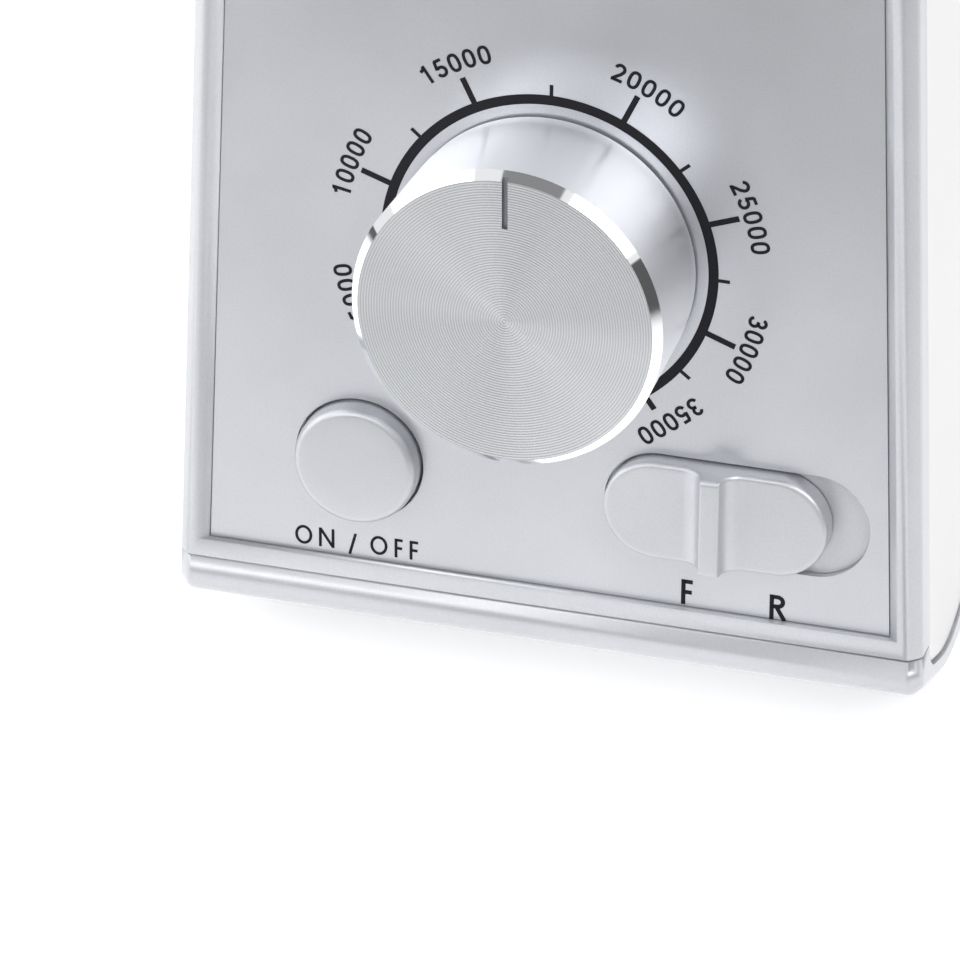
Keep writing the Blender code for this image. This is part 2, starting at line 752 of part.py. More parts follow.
def control_boss_places():
    u = CONTROL_BOARD_HALF - CONTROL_BOSS_EDGE
    vs = (CONTROL_BOSS_EDGE - CONTROL_BOARD_DROP, CONTROL_BOARD_RISE - CONTROL_BOSS_EDGE)
    return [(side * u, v) for v in vs for side in (-1.0, 1.0)]


def make_faceplate(panel):
    outline = panel_outline(RECESS_HALF - GAP, RECESS_DROP - GAP, RECESS_RISE - GAP)
    plate = piece("faceplate", add_prism(bmesh.new(), outline, -PLATE_THICKNESS, 0.0), "silver_grain", panel)
    cut(plate, panel_hole_cutters("plate", panel, -PLATE_THICKNESS - OVERRUN, OVERRUN))
    slot = stadium(SLIDE_HALF_LENGTH, SLIDE_RADIUS, ROUND_FACETS, (SLIDE_U, SLIDE_V))
    cut(plate, helper("slider_slot", add_prism(bmesh.new(), slot, -OVERRUN, OVERRUN), panel))
    return plate


def foot_places():
    """Feet centres in the unit's frame, front pair first."""
    front = (HALF_WIDTH - FRONT_FOOT_INSET, FRONT_FOOT_Y)
    rear = (HALF_WIDTH - REAR_FOOT_INSET, heel_y() - REAR_FOOT_FROM_HEEL)
    return [(side * x, y) for x, y in (front, rear) for side in (-1.0, 1.0)]


def strap_outside():
    """Half the length of the transformer's strap, without its tabs."""
    return CORE_LENGTH / 2.0 + GAP + BRACKET_THICKNESS


def transformer_x():
    return POST_LOW_INSET + POST_RADIUS - HALF_WIDTH + STRAP_CLEARANCE + strap_outside()


def core_stack():
    """Depth of the core's stack of sheets, between the bulges of its winding."""
    return heel_y() - WINDING_FROM_HEEL - WINDING_FRONT - 2.0 * WINDING_BULGE


def transformer_y():
    return (heel_y() - WINDING_FROM_HEEL + WINDING_FRONT) / 2.0


def bracket_screw_places():
    reach = strap_outside() + BRACKET_TAB / 2.0
    return [(transformer_x() + side * reach, transformer_y()) for side in (-1.0, 1.0)]


def main_board_sides():
    """The main board's left and right edges: it fills the space beside the transformer."""
    left = transformer_x() + strap_outside() + BRACKET_TAB + TAB_CLEARANCE
    return left, HALF_WIDTH - MAIN_BOARD_INSET


def main_board_back():
    return heel_y() - MAIN_BOARD_FROM_HEEL


def sink_depth():
    return SINK_DEPTH_SHARE * (main_board_back() - MAIN_BOARD_FRONT)


def sink_front():
    """The heat sink's flat face, with its fins ahead of the rear screws."""
    return main_board_back() - MAIN_BOSS_EDGE - SCREW_HEAD_RADIUS - SINK_CLEARANCE - sink_depth()


def along_board(share):
    """A share of the space from the main board's front edge to the transistor."""
    return share * (sink_front() - GAP - TRANSISTOR_THICKNESS - MAIN_BOARD_FRONT)


def across_board(share):
    """A share of the space from the transformer's tab to the lower right post."""
    return share * (HALF_WIDTH - POST_LOW_INSET - POST_RADIUS - main_board_sides()[0])


def component_x():
    return main_board_sides()[0] + across_board(COMPONENT_PLACE_SHARE)


def cable_sides():
    low = main_board_sides()[0] + MAIN_BOSS_EDGE + SCREW_HEAD_RADIUS
    high = CONTROL_BOARD_HALF - CONTROL_BOSS_EDGE - SCREW_HEAD_RADIUS
    return [low + share * (high - low) for share in CABLE_SHARES]


def main_board_screw_places():
    left, right = main_board_sides()
    xs = (left + MAIN_BOSS_EDGE, right - MAIN_BOSS_EDGE)
    ys = (MAIN_BOARD_FRONT + MAIN_BOSS_EDGE, main_board_back() - MAIN_BOSS_EDGE)
    return [(x, y) for y in ys for x in xs]


def floor_z():
    return WALL - DIAL_ABOVE_BASE


def make_lower_shell(unit):
    shell = housing_blank("lower_shell", "silver_paint", unit)
    far = BASE_DEPTH * 2.0
    seam = SEAM_DROP + SEAM_GAP
    split = SPLIT_HEIGHT - DIAL_ABOVE_BASE
    keep(shell, region("lower_region", [
        panel_point(-seam, far),
        Vector((-far, -far)),
        Vector((far, -far)),
        Vector((far, split)),
        Vector((SPLIT_REACH, split)),
        panel_point(-seam, -SEAM_REACH),
    ], unit))
    floor = floor_z()
    bosses = bmesh.new()
    pilots = bmesh.new()
    for x, y in main_board_screw_places():
        top = floor + MAIN_BOSS_HEIGHT
        add_prism(bosses, circle(MAIN_BOSS_RADIUS, SMALL_FACETS, (x, y)), floor - BITE, top)
        add_screw_hole(pilots, (x, y), top - MAIN_SCREW_LENGTH, top + OVERRUN)
    for x, y in bracket_screw_places():
        top = floor + BRACKET_BOSS_HEIGHT
        add_prism(bosses, circle(BRACKET_BOSS_RADIUS, SMALL_FACETS, (x, y)), floor - BITE, top)
        add_screw_hole(pilots, (x, y), top - BRACKET_SCREW_LENGTH, top + OVERRUN)
    join(shell, helper("floor_bosses", bosses, unit))
    cut(shell, helper("floor_pilots", pilots, unit))
    pockets = bmesh.new()
    for x, y in foot_places():
        outline = circle(FOOT_RADIUS + GAP, ROUND_FACETS, (x, y))
        add_prism(pockets, outline, -DIAL_ABOVE_BASE - OVERRUN, FOOT_POCKET - DIAL_ABOVE_BASE)
    cut(shell, helper("foot_pockets", pockets, unit))
    vents = bmesh.new()
    for k in range(BASE_VENTS):
        y = BASE_VENT_Y + k * VENT_PITCH
        outline = stadium(BASE_VENT_LENGTH / 2.0, VENT_WIDTH / 2.0, SMALL_FACETS // 2, (BASE_VENT_X, y))
        add_prism(vents, outline, -DIAL_ABOVE_BASE - OVERRUN, floor + GAP)
    cut(shell, helper("base_vents", vents, unit))
    return shell


def make_rear_cover(unit, rear):
    cover = housing_blank("rear_cover", "white_plastic", unit)
    far = BASE_DEPTH * 2.0
    split = SPLIT_HEIGHT + SEAM_GAP - DIAL_ABOVE_BASE
    edge = -(RIM_DEPTH + SEAM_GAP)
    keep(cover, region("rear_region", [
        panel_point(-SEAM_DROP / 2.0, edge),
        Vector((SPLIT_REACH, split)),
        Vector((far, split)),
        Vector((far, far)),
        panel_point(far, edge),
    ], unit))
    bosses = bmesh.new()
    bores = bmesh.new()
    heads = bmesh.new()
    for x, z in post_places():
        inner = back_inner_y(z)
        tip = inner - REAR_BOSS_LENGTH
        add_prism(bosses, circle(REAR_BOSS_RADIUS, SMALL_FACETS, (x, -z)), tip, inner + BITE)
        add_screw_hole(bores, (x, -z), tip - OVERRUN, inner + OVERRUN)
        add_prism(
            heads,
            circle(COUNTERBORE_RADIUS, SMALL_FACETS, (x, -z)),
            inner + WALL - COUNTERBORE_DEPTH,
            inner + WALL + OVERRUN,
        )
    join(cover, helper("rear_bosses", from_back_to_front(bosses), unit))
    cut(cover, helper("rear_bores", from_back_to_front(bores), unit))
    cut(cover, helper("rear_counterbores", from_back_to_front(heads), unit))
    cut(cover, socket_holes(rear), vent_slots(rear))
    return cover


def socket_holes(rear):
    """Openings in the back wall for the sockets, the fuse holder and the rocker switch."""
    holes = bmesh.new()
    low = -WALL - OVERRUN
    high = OVERRUN
    inlet_height = INLET_BODY_HEIGHT / 2.0 + GAP
    outline = stadium(INLET_BODY_HALF + GAP, inlet_height, ROUND_FACETS, (INLET_X, 0.0))
    add_prism(holes, outline, low, high)
    add_prism(holes, circle(FUSE_BODY_RADIUS + GAP, ROUND_FACETS, (FUSE_X, 0.0)), low, high)
    for x in (PEDAL_X, HANDPIECE_X):
        add_prism(holes, circle(JACK_BUSH_RADIUS + GAP, ROUND_FACETS, (x, 0.0)), low, high)
    half_width = MODE_BODY_WIDTH / 2.0 + GAP
    half_height = MODE_BODY_HEIGHT / 2.0 + GAP
    add_box(
        holes,
        (MODE_X - half_width, MODE_Y - half_height, low),
        (MODE_X + half_width, MODE_Y + half_height, high),
    )
    return helper("socket_holes", holes, rear)


def vent_slots(rear):
    slots = bmesh.new()
    for k in range(REAR_VENTS):
        y = REAR_VENT_Y + k * VENT_PITCH
        outline = stadium(VENT_LENGTH / 2.0, VENT_WIDTH / 2.0, SMALL_FACETS // 2, (0.0, y))
        add_prism(slots, outline, -WALL - OVERRUN, OVERRUN)
    return helper("rear_vents", slots, rear)


def make_side_panels(unit):
    """White panels that fill the band's side windows, each with a lip behind the band."""
    for name, side in (("side_panel_left", -1.0), ("side_panel_right", 1.0)):
        inner = WALL + GAP
        rings = (
            (PANEL_INSET, GAP + PANEL_EDGE),
            (PANEL_INSET + PANEL_EDGE, GAP),
            (inner, GAP),
            (inner, -PANEL_LIP),
            (inner + PANEL_LIP_THICKNESS, -PANEL_LIP),
        )
        loops = [side_ring(rounded(window_corners(shrink)), inset, side) for inset, shrink in rings]
        piece(name, add_loft(bmesh.new(), loops), "white_plastic", unit)


def make_feet(unit):
    names = ("foot_front_left", "foot_front_right", "foot_rear_left", "foot_rear_right")
    top = FOOT_POCKET - GAP
    profile = (
        (0.0, -FOOT_STAND),
        (FOOT_RADIUS - FOOT_EDGE, -FOOT_STAND),
        (FOOT_RADIUS, FOOT_EDGE - FOOT_STAND),
        (FOOT_RADIUS, top),
        (0.0, top),
    )
    for name, (x, y) in zip(names, foot_places()):
        piece(name, turned(profile), "black_rubber", unit, (x, y, -DIAL_ABOVE_BASE))


def make_rear_screws(unit):
    for k, (x, z) in enumerate(post_places()):
        seat = back_inner_y(z) + WALL - COUNTERBORE_DEPTH + GAP
        one = screw(f"rear_screw_{k + 1}", REAR_SCREW_LENGTH, unit, (x, seat, z))
        one.rotation_euler = (-math.pi / 2.0, 0.0, 0.0)


def make_knob(panel):
    roof = KNOB_HEIGHT - KNOB_FACE_THICKNESS
    inner = KNOB_LOW_RADIUS - KNOB_WALL
    profile = [(KNOB_FACE_RADIUS * out, KNOB_HEIGHT - KNOB_DISH * down) for out, down in KNOB_FACE_SHARES]
    profile += [
        (KNOB_CHAMFER_RADIUS, KNOB_CHAMFER_HEIGHT),
        (KNOB_LOW_RADIUS, KNOB_STEP_HEIGHT),
        (KNOB_SKIRT_RADIUS, KNOB_STEP_HEIGHT),
        (KNOB_SKIRT_RADIUS, KNOB_LOW),
        (inner, KNOB_LOW),
        (inner, roof),
        (0.0, roof),
    ]
    knob = piece("speed_knob", turned(profile, KNOB_FACETS), "spun_aluminium", panel)
    groove = box(
        (-POINTER_WIDTH / 2.0, POINTER_INNER, KNOB_HEIGHT - POINTER_DEPTH),
        (POINTER_WIDTH / 2.0, KNOB_CHAMFER_RADIUS + OVERRUN, KNOB_HEIGHT + OVERRUN),
    )
    cut(knob, helper("pointer_groove", groove, panel))
    outer = inner - GAP
    top = roof - GAP
    cup = (
        (0.0, top),
        (outer, top),
        (outer, CORE_SKIRT_BOTTOM),
        (outer - CORE_WALL, CORE_SKIRT_BOTTOM),
        (outer - CORE_WALL, top - CORE_TOP),
        (CORE_HUB_RADIUS, top - CORE_TOP),
        (CORE_HUB_RADIUS, CORE_HUB_BOTTOM),
        (0.0, CORE_HUB_BOTTOM),
    )
    core = piece("knob_core", turned(cup, ROUND_FACETS), "black_plastic", panel)
    for k in range(CORE_RIBS):
        rib = box(
            (CORE_HUB_RADIUS - BITE, -CORE_RIB_WIDTH / 2.0, CORE_SKIRT_BOTTOM + BITE),
            (outer - CORE_WALL + BITE / 2.0, CORE_RIB_WIDTH / 2.0, top - CORE_TOP + BITE),
        )
        turn = Matrix.Rotation(2.0 * math.pi * (k + 0.5) / CORE_RIBS, 3, "Z")
        bmesh.ops.rotate(rib, verts=rib.verts, cent=(0.0, 0.0, 0.0), matrix=turn)
        join(core, helper(f"core_rib_{k + 1}", rib, panel))
    bore = add_prism(
        bmesh.new(),
        d_outline(SHAFT_RADIUS + SHAFT_CLEARANCE, SHAFT_RADIUS - SHAFT_FLAT + SHAFT_CLEARANCE),
        CORE_HUB_BOTTOM - OVERRUN,
        SHAFT_TOP + GAP,
    )
    cut(core, helper("core_bore", bore, panel))


def d_outline(radius, flat):
    """A circle with a flat at x = flat."""
    half = math.acos(flat / radius)
    turns = [half + (2.0 * math.pi - 2.0 * half) * k / ROUND_FACETS for k in range(ROUND_FACETS + 1)]
    return [(radius * math.cos(t), radius * math.sin(t)) for t in turns]


def shell_back():
    """Depth of the front shell's back face behind the faceplate's surface."""
    return PLATE_THICKNESS + GAP + FRONT_WALL


def make_potentiometer(panel):
    flange_front = -(shell_back() + GAP)
    flange_back = flange_front - BUSH_FLANGE_THICKNESS
    bore = SHAFT_RADIUS + SHAFT_CLEARANCE
    bush = (
        (bore, flange_back),
        (BUSH_FLANGE_RADIUS, flange_back),
        (BUSH_FLANGE_RADIUS, flange_front),
        (BUSH_RADIUS, flange_front),
        (BUSH_RADIUS, BUSH_TOP),
        (bore, BUSH_TOP),
    )
    piece("potentiometer_bush", turned(bush), "brass", panel)
    body_front = flange_back - GAP
    body_back = body_front - POT_DEPTH
    can = turned((
        (0.0, body_back),
        (POT_RADIUS, body_back),
        (POT_RADIUS, body_front),
        (bore, body_front),
        (bore, body_back + GAP + POT_WALL),
        (0.0, body_back + GAP + POT_WALL),
    ))
    body = piece("potentiometer_body", can, "plated_steel", panel)
    lugs = box(
        (-POT_LUG_WIDTH / 2.0, -POT_LUG_DROP, body_back + POT_WALL),
        (POT_LUG_WIDTH / 2.0, -POT_RADIUS / 2.0, body_back + 2.0 * POT_WALL),
    )
    join(body, helper("potentiometer_lugs", lugs, panel))
    cut(body, helper("lug_clearance", cylinder(bore, body_back + GAP + POT_WALL, 0.0, ROUND_FACETS), panel))
    shaft_low = body_back + 2.0 * GAP + POT_WALL
    shaft = piece(
        "potentiometer_shaft",
        cylinder(SHAFT_RADIUS, shaft_low, SHAFT_TOP, ROUND_FACETS),
        "plated_steel",
        panel,
    )
    flat = box(
        (SHAFT_RADIUS - SHAFT_FLAT, -SHAFT_RADIUS - OVERRUN, CORE_HUB_BOTTOM - GAP),
        (SHAFT_RADIUS + OVERRUN, SHAFT_RADIUS + OVERRUN, SHAFT_TOP + OVERRUN),
    )
    cut(shaft, helper("shaft_flat", flat, panel))
    hole = BUSH_RADIUS + GAP
    washer_top = GAP + WASHER_THICKNESS
    washer = ((hole, GAP), (WASHER_RADIUS, GAP), (WASHER_RADIUS, washer_top), (hole, washer_top))
    piece("potentiometer_washer", turned(washer), "plated_steel", panel)
    nut_low = 2.0 * GAP + WASHER_THICKNESS
    make_nut("potentiometer_nut", NUT_HALF_FLATS, hole, nut_low, NUT_THICKNESS, panel, (0.0, 0.0, 0.0))


def make_nut(name, half_flats, hole, low, thickness, parent, location):
    block = add_prism(bmesh.new(), hexagon(half_flats), low, low + thickness)
    nut = piece(name, block, "plated_steel", parent, location)
    bore = cylinder(hole, low - OVERRUN, low + thickness + OVERRUN, ROUND_FACETS)
    cut(nut, helper(f"{name}_bore", bore, parent, location))


def make_power_button(panel):
    flange_front = -(shell_back() + GAP)
    flange_back = flange_front - BUTTON_FLANGE_THICKNESS
    board_front = -CONTROL_BOARD_DEPTH
    switch_front = board_front + GAP + SWITCH_HEIGHT
    stem_low = switch_front + BUTTON_TRAVEL + GAP
    plunger_top = stem_low - GAP
    inner = BUTTON_RADIUS - BUTTON_CAP_WALL
    roof = BUTTON_HEIGHT - BUTTON_CAP_WALL
    soft = BUTTON_ROUND * (1.0 - math.cos(math.pi / 4.0))
    cap = (
        (0.0, BUTTON_HEIGHT),
        (BUTTON_RADIUS - BUTTON_ROUND, BUTTON_HEIGHT),
        (BUTTON_RADIUS - soft, BUTTON_HEIGHT - soft),
        (BUTTON_RADIUS, BUTTON_HEIGHT - BUTTON_ROUND),
        (BUTTON_RADIUS, flange_front),
        (BUTTON_RADIUS + BUTTON_FLANGE, flange_front),
        (BUTTON_RADIUS + BUTTON_FLANGE, flange_back),
        (inner, flange_back),
        (inner, roof),
        (BUTTON_STEM_RADIUS, roof),
        (BUTTON_STEM_RADIUS, stem_low),
        (0.0, stem_low),
    )
    place = (BUTTON_U, BUTTON_V, 0.0)
    piece("power_button", turned(cap, ROUND_FACETS + SMALL_FACETS), "silver_paint", panel, place)
    plunger = cylinder(PLUNGER_RADIUS, plunger_top - PLUNGER_LENGTH, plunger_top, SMALL_FACETS)
    piece("power_switch_plunger", plunger, "white_plastic", panel, place)
    half = SWITCH_SIDE / 2.0
    body = piece(
        "power_switch_body",
        box((-half, -half, board_front + GAP), (half, half, switch_front)),
        "black_plastic",
        panel,
        place,
    )
    bore_low = plunger_top - PLUNGER_LENGTH - BUTTON_TRAVEL - GAP
    bore = cylinder(PLUNGER_RADIUS + SHAFT_CLEARANCE, bore_low, OVERRUN, SMALL_FACETS)
    cut(body, helper("plunger_bore", bore, panel, place))


def make_direction_slider(panel):
    """The cap's top is a saddle: two flat lobes that rise in quarter-round scoops to a cross ridge."""
    bottom = -(PLATE_THICKNESS + GAP) + GAP
    half_length = SLIDE_HALF_LENGTH - SLIDE_TRAVEL / 2.0 - RUNNING_GAP
    radius = SLIDE_RADIUS - RUNNING_GAP
    place = (SLIDE_U - SLIDE_TRAVEL / 2.0, SLIDE_V, 0.0)
    body = add_prism(bmesh.new(), stadium(half_length, radius, ROUND_FACETS), bottom, RIDGE_HEIGHT + OVERRUN)
    cap = piece("direction_slider", body, "silver_paint", panel, place)
    scoop = RIDGE_HEIGHT - LOBE_HEIGHT
    rise = []
    for k in range(SCOOP_STEPS + 1):
        turn = math.pi / 2.0 * k / SCOOP_STEPS
        x = RIDGE_WIDTH / 2.0 + scoop * (1.0 - math.sin(turn))
        rise.append((x, RIDGE_HEIGHT - scoop * math.cos(turn)))
    over = half_length + OVERRUN
    low = bottom - OVERRUN
    saddle = [(-over, low), (over, low), (over, LOBE_HEIGHT)]
    saddle += rise
    saddle += [(-x, z) for x, z in reversed(rise)]
    saddle.append((-over, LOBE_HEIGHT))
    rings = [[(x, y, z) for x, z in saddle] for y in (-radius - OVERRUN, radius + OVERRUN)]
    keep(cap, helper("saddle", add_loft(bmesh.new(), rings), panel, place))
    half_stem = STEM_LENGTH / 2.0
    stem = box((-half_stem, -STEM_WIDTH / 2.0, -STEM_DEPTH), (half_stem, STEM_WIDTH / 2.0, bottom + BITE))
    hook_top = -(shell_back() + GAP)
    hook_half = STEM_WIDTH / 2.0 + HOOK_REACH + RUNNING_GAP
    hook_low = hook_top - HOOK_THICKNESS
    hooks = box((-half_stem / 2.0, -hook_half, hook_low), (half_stem / 2.0, hook_half, hook_top))
    join(cap, helper("slider_stem", stem, panel, place), helper("slider_hooks", hooks, panel, place))
    pocket_half = LEVER_LENGTH / 2.0 + GAP
    pocket = box(
        (-pocket_half, -LEVER_WIDTH / 2.0 - GAP, -STEM_DEPTH - OVERRUN),
        (pocket_half, LEVER_WIDTH / 2.0 + GAP, -LEVER_TOP + GAP),
    )
    cut(cap, helper("lever_pocket", pocket, panel, place))
    lever = box(
        (-LEVER_LENGTH / 2.0, -LEVER_WIDTH / 2.0, -LEVER_BOTTOM),
        (LEVER_LENGTH / 2.0, LEVER_WIDTH / 2.0, -LEVER_TOP),
    )
    piece("direction_switch_lever", lever, "black_plastic", panel, place)
    centre = (SLIDE_U, SLIDE_V, 0.0)
    board_front = -CONTROL_BOARD_DEPTH
    half = SLIDE_SWITCH_LENGTH / 2.0
    switch = piece(
        "direction_switch_body",
        box(
            (-half, -SLIDE_SWITCH_WIDTH / 2.0, board_front + GAP),
            (half, SLIDE_SWITCH_WIDTH / 2.0, board_front + GAP + SWITCH_HEIGHT),
        ),
        "plated_steel",
        panel,
        centre,
    )
    slot_half = (LEVER_LENGTH + SLIDE_TRAVEL) / 2.0 + RUNNING_GAP
    slot = box(
        (-slot_half, -LEVER_WIDTH / 2.0 - RUNNING_GAP, -LEVER_BOTTOM - GAP),
        (slot_half, LEVER_WIDTH / 2.0 + RUNNING_GAP, OVERRUN),
    )
    cut(switch, helper("lever_slot", slot, panel, centre))


def make_control_board(panel):
    front = -CONTROL_BOARD_DEPTH
    low = (-CONTROL_BOARD_HALF, -CONTROL_BOARD_DROP, front - BOARD_THICKNESS)
    high = (CONTROL_BOARD_HALF, CONTROL_BOARD_RISE, front)
    board = piece("control_board", box(low, high), "circuit_board", panel)
    holes = bmesh.new()
    for u, v in control_boss_places():
        add_screw_hole(holes, (u, v), low[2] - OVERRUN, front + OVERRUN)
    cut(board, helper("control_board_holes", holes, panel))
    for k, (u, v) in enumerate(control_boss_places()):
        seat = front - BOARD_THICKNESS - GAP
        one = screw(f"control_board_screw_{k + 1}", CONTROL_SCREW_LENGTH, panel, (u, v, seat))
        one.rotation_euler = (math.pi, 0.0, 0.0)


def make_main_board(unit):
    bottom = floor_z() + MAIN_BOSS_HEIGHT + GAP
    top = bottom + BOARD_THICKNESS
    left, right = main_board_sides()
    slab = box((left, MAIN_BOARD_FRONT, bottom), (right, main_board_back(), top))
    board = piece("main_board", slab, "circuit_board", unit)
    holes = bmesh.new()
    for x, y in main_board_screw_places():
        add_screw_hole(holes, (x, y), bottom - OVERRUN, top + OVERRUN)
    cut(board, helper("main_board_holes", holes, unit))
    for k, (x, y) in enumerate(main_board_screw_places()):
        screw(f"main_board_screw_{k + 1}", MAIN_SCREW_LENGTH, unit, (x, y, top + GAP))
    radius = min(across_board(CAPACITOR_RADIUS_SHARES[0]), along_board(CAPACITOR_RADIUS_SHARES[1]))
    waist = radius - CAPACITOR_GROOVE
    can = (
        (0.0, GAP),
        (waist, GAP),
        (radius, GAP + CAPACITOR_GROOVE),
        (radius, 2.0 * CAPACITOR_GROOVE + BITE),
        (waist, 3.0 * CAPACITOR_GROOVE + BITE),
        (radius, 4.0 * CAPACITOR_GROOVE + BITE),
        (radius, CAPACITOR_HEIGHT - CAPACITOR_GROOVE),
        (waist, CAPACITOR_HEIGHT),
        (0.0, CAPACITOR_HEIGHT),
    )
    place = (component_x(), MAIN_BOARD_FRONT + along_board(CAPACITOR_PLACE_SHARE), top)
    piece("main_capacitor", turned(can), "blue_sleeve", unit, place)
    make_heat_sink(unit, top)


def make_heat_sink(unit, board_top):
    """A finned extrusion that stands on the board, with the drive transistor on its flat face."""
    length = across_board(SINK_LENGTH_SHARE)
    half = length / 2.0
    half_depth = sink_depth() / 2.0
    front = -half_depth
    outline = [(-half, front), (half, front)]
    fin = length * SINK_FIN_SHARE
    pitch = (length - fin) / (SINK_FINS - 1)
    for k in range(SINK_FINS):
        right = half - k * pitch
        outline += [(right, half_depth), (right - fin, half_depth)]
        if k < SINK_FINS - 1:
            outline += [(right - fin, front + SINK_BACK), (right - pitch, front + SINK_BACK)]
    place = (component_x(), sink_front() + half_depth, board_top)
    sink = add_prism(bmesh.new(), outline, GAP, GAP + SINK_HEIGHT)
    piece("heat_sink", sink, "spun_aluminium", unit, place)
    back = front - GAP
    chip = box(
        (-TRANSISTOR_WIDTH / 2.0, back - TRANSISTOR_THICKNESS, TRANSISTOR_ABOVE_BOARD),
        (TRANSISTOR_WIDTH / 2.0, back, TRANSISTOR_ABOVE_BOARD + TRANSISTOR_HEIGHT),
    )
    transistor = piece("drive_transistor", chip, "black_plastic", unit, place)
    middle = back - TRANSISTOR_THICKNESS / 2.0
    half_leg = LEG_THICKNESS / 2.0
    for k in (-1, 0, 1):
        leg = box(
            (k * LEG_PITCH - half_leg, middle - half_leg, GAP),
            (k * LEG_PITCH + half_leg, middle + half_leg, TRANSISTOR_ABOVE_BOARD + BITE),
        )
        join(transistor, helper(f"transistor_leg_{k + 2}", leg, unit, place))


def make_transformer(unit):
    bottom = floor_z() + GAP
    place = (transformer_x(), transformer_y(), bottom)
    half = CORE_LENGTH / 2.0
    half_stack = core_stack() / 2.0
    core = piece(
        "transformer_core",
        box((-half, -half_stack, 0.0), (half, half_stack, CORE_RISE)),
        "laminated_steel",
        unit,
        place,
    )
    windows = bmesh.new()
    for side in (-1.0, 1.0):
        inner = side * CORE_LEG
        outer = side * (CORE_LEG + CORE_WINDOW)
        add_box(
            windows,
            (min(inner, outer), -half_stack - OVERRUN, CORE_LEG),
            (max(inner, outer), half_stack + OVERRUN, CORE_RISE - CORE_LEG),
        )
    cut(core, helper("core_windows", windows, unit, place))
    coil_half = CORE_LEG + CORE_WINDOW - GAP
    coil_reach = half_stack + WINDING_BULGE
    coil = box((-coil_half, -coil_reach, CORE_LEG + GAP), (coil_half, coil_reach, CORE_RISE - CORE_LEG - GAP))
    corners = [e for e in coil.edges if abs(e.verts[0].co.z - e.verts[1].co.z) > GAP]
    bmesh.ops.bevel(coil, geom=corners, offset=WINDING_ROUND, segments=3, profile=0.5, affect="EDGES")
    winding = piece("transformer_winding", coil, "copper_wire", unit, place)
    leg_hole = box(
        (-CORE_LEG - GAP, -half_stack - GAP, -OVERRUN),
        (CORE_LEG + GAP, half_stack + GAP, CORE_RISE + OVERRUN),
    )
    cut(winding, helper("leg_hole", leg_hole, unit, place))
    make_bracket(unit, place)


def make_bracket(unit, place):
    """A steel strap over the core, with a screwed tab at each end."""
    half_depth = BRACKET_DEPTH / 2.0
    outside = strap_outside()
    inside = outside - BRACKET_THICKNESS
    reach = outside + BRACKET_TAB
    tab_low = BRACKET_BOSS_HEIGHT
    tab_high = tab_low + BRACKET_THICKNESS
    under = CORE_RISE + GAP
    top = under + BRACKET_THICKNESS
    half_outline = [(reach, tab_low), (reach, tab_high), (outside, tab_high), (outside, top)]
    inner_outline = [(inside, under), (inside, tab_low)]
    outline = half_outline
    outline += [(-x, z) for x, z in reversed(half_outline)]
    outline += [(-x, z) for x, z in reversed(inner_outline)]
    outline += inner_outline
    rings = [[(x, y, z) for x, z in outline] for y in (-half_depth, half_depth)]
    bracket = piece("transformer_bracket", add_loft(bmesh.new(), rings), "plated_steel", unit, place)
    holes = bmesh.new()
    for x, y in bracket_screw_places():
        centre = (x - place[0], y - place[1])
        add_screw_hole(holes, centre, tab_low - OVERRUN / 2.0, tab_high + OVERRUN)
    cut(bracket, helper("bracket_holes", holes, unit, place))
    for name, (x, y) in zip(("bracket_screw_left", "bracket_screw_right"), bracket_screw_places()):
        screw(name, BRACKET_SCREW_LENGTH, unit, (x, y, place[2] + tab_high + GAP))


def make_mains_inlet(rear):
    place = (INLET_X, 0.0, 0.0)
    flange_top = GAP + INLET_FLANGE_THICKNESS
    flange = stadium(INLET_FLANGE_HALF, INLET_FLANGE_HEIGHT / 2.0, ROUND_FACETS)
    plate = add_prism(bmesh.new(), flange, GAP, flange_top)
    inlet = piece("mains_inlet", plate, "black_plastic", rear, place)
    body = stadium(INLET_BODY_HALF, INLET_BODY_HEIGHT / 2.0, ROUND_FACETS)
    body_low = flange_top - INLET_BODY_DEPTH
    join(inlet, helper("inlet_body", add_prism(bmesh.new(), body, body_low, flange_top - GAP), rear, place))
    cavity = stadium(INLET_CAVITY_HALF, INLET_CAVITY_HEIGHT / 2.0, ROUND_FACETS)
    cavity_low = flange_top - INLET_CAVITY_DEPTH
    well = add_prism(bmesh.new(), cavity, cavity_low, flange_top + OVERRUN)
    cut(inlet, helper("inlet_cavity", well, rear, place))
    holes = bmesh.new()
    for side in (-1.0, 1.0):
        outline = circle(PIN_RADIUS + GAP, SMALL_FACETS, (side * PIN_SPREAD, 0.0))
        add_prism(holes, outline, body_low - OVERRUN, cavity_low + OVERRUN)
    cut(inlet, helper("inlet_pin_holes", holes, rear, place))
    for name, side in (("inlet_pin_left", 1.0), ("inlet_pin_right", -1.0)):
        pin = cylinder(PIN_RADIUS, body_low - OVERRUN / 2.0, flange_top - PIN_SHORT, SMALL_FACETS)
        piece(name, pin, "brass", rear, (INLET_X + side * PIN_SPREAD, 0.0, 0.0))


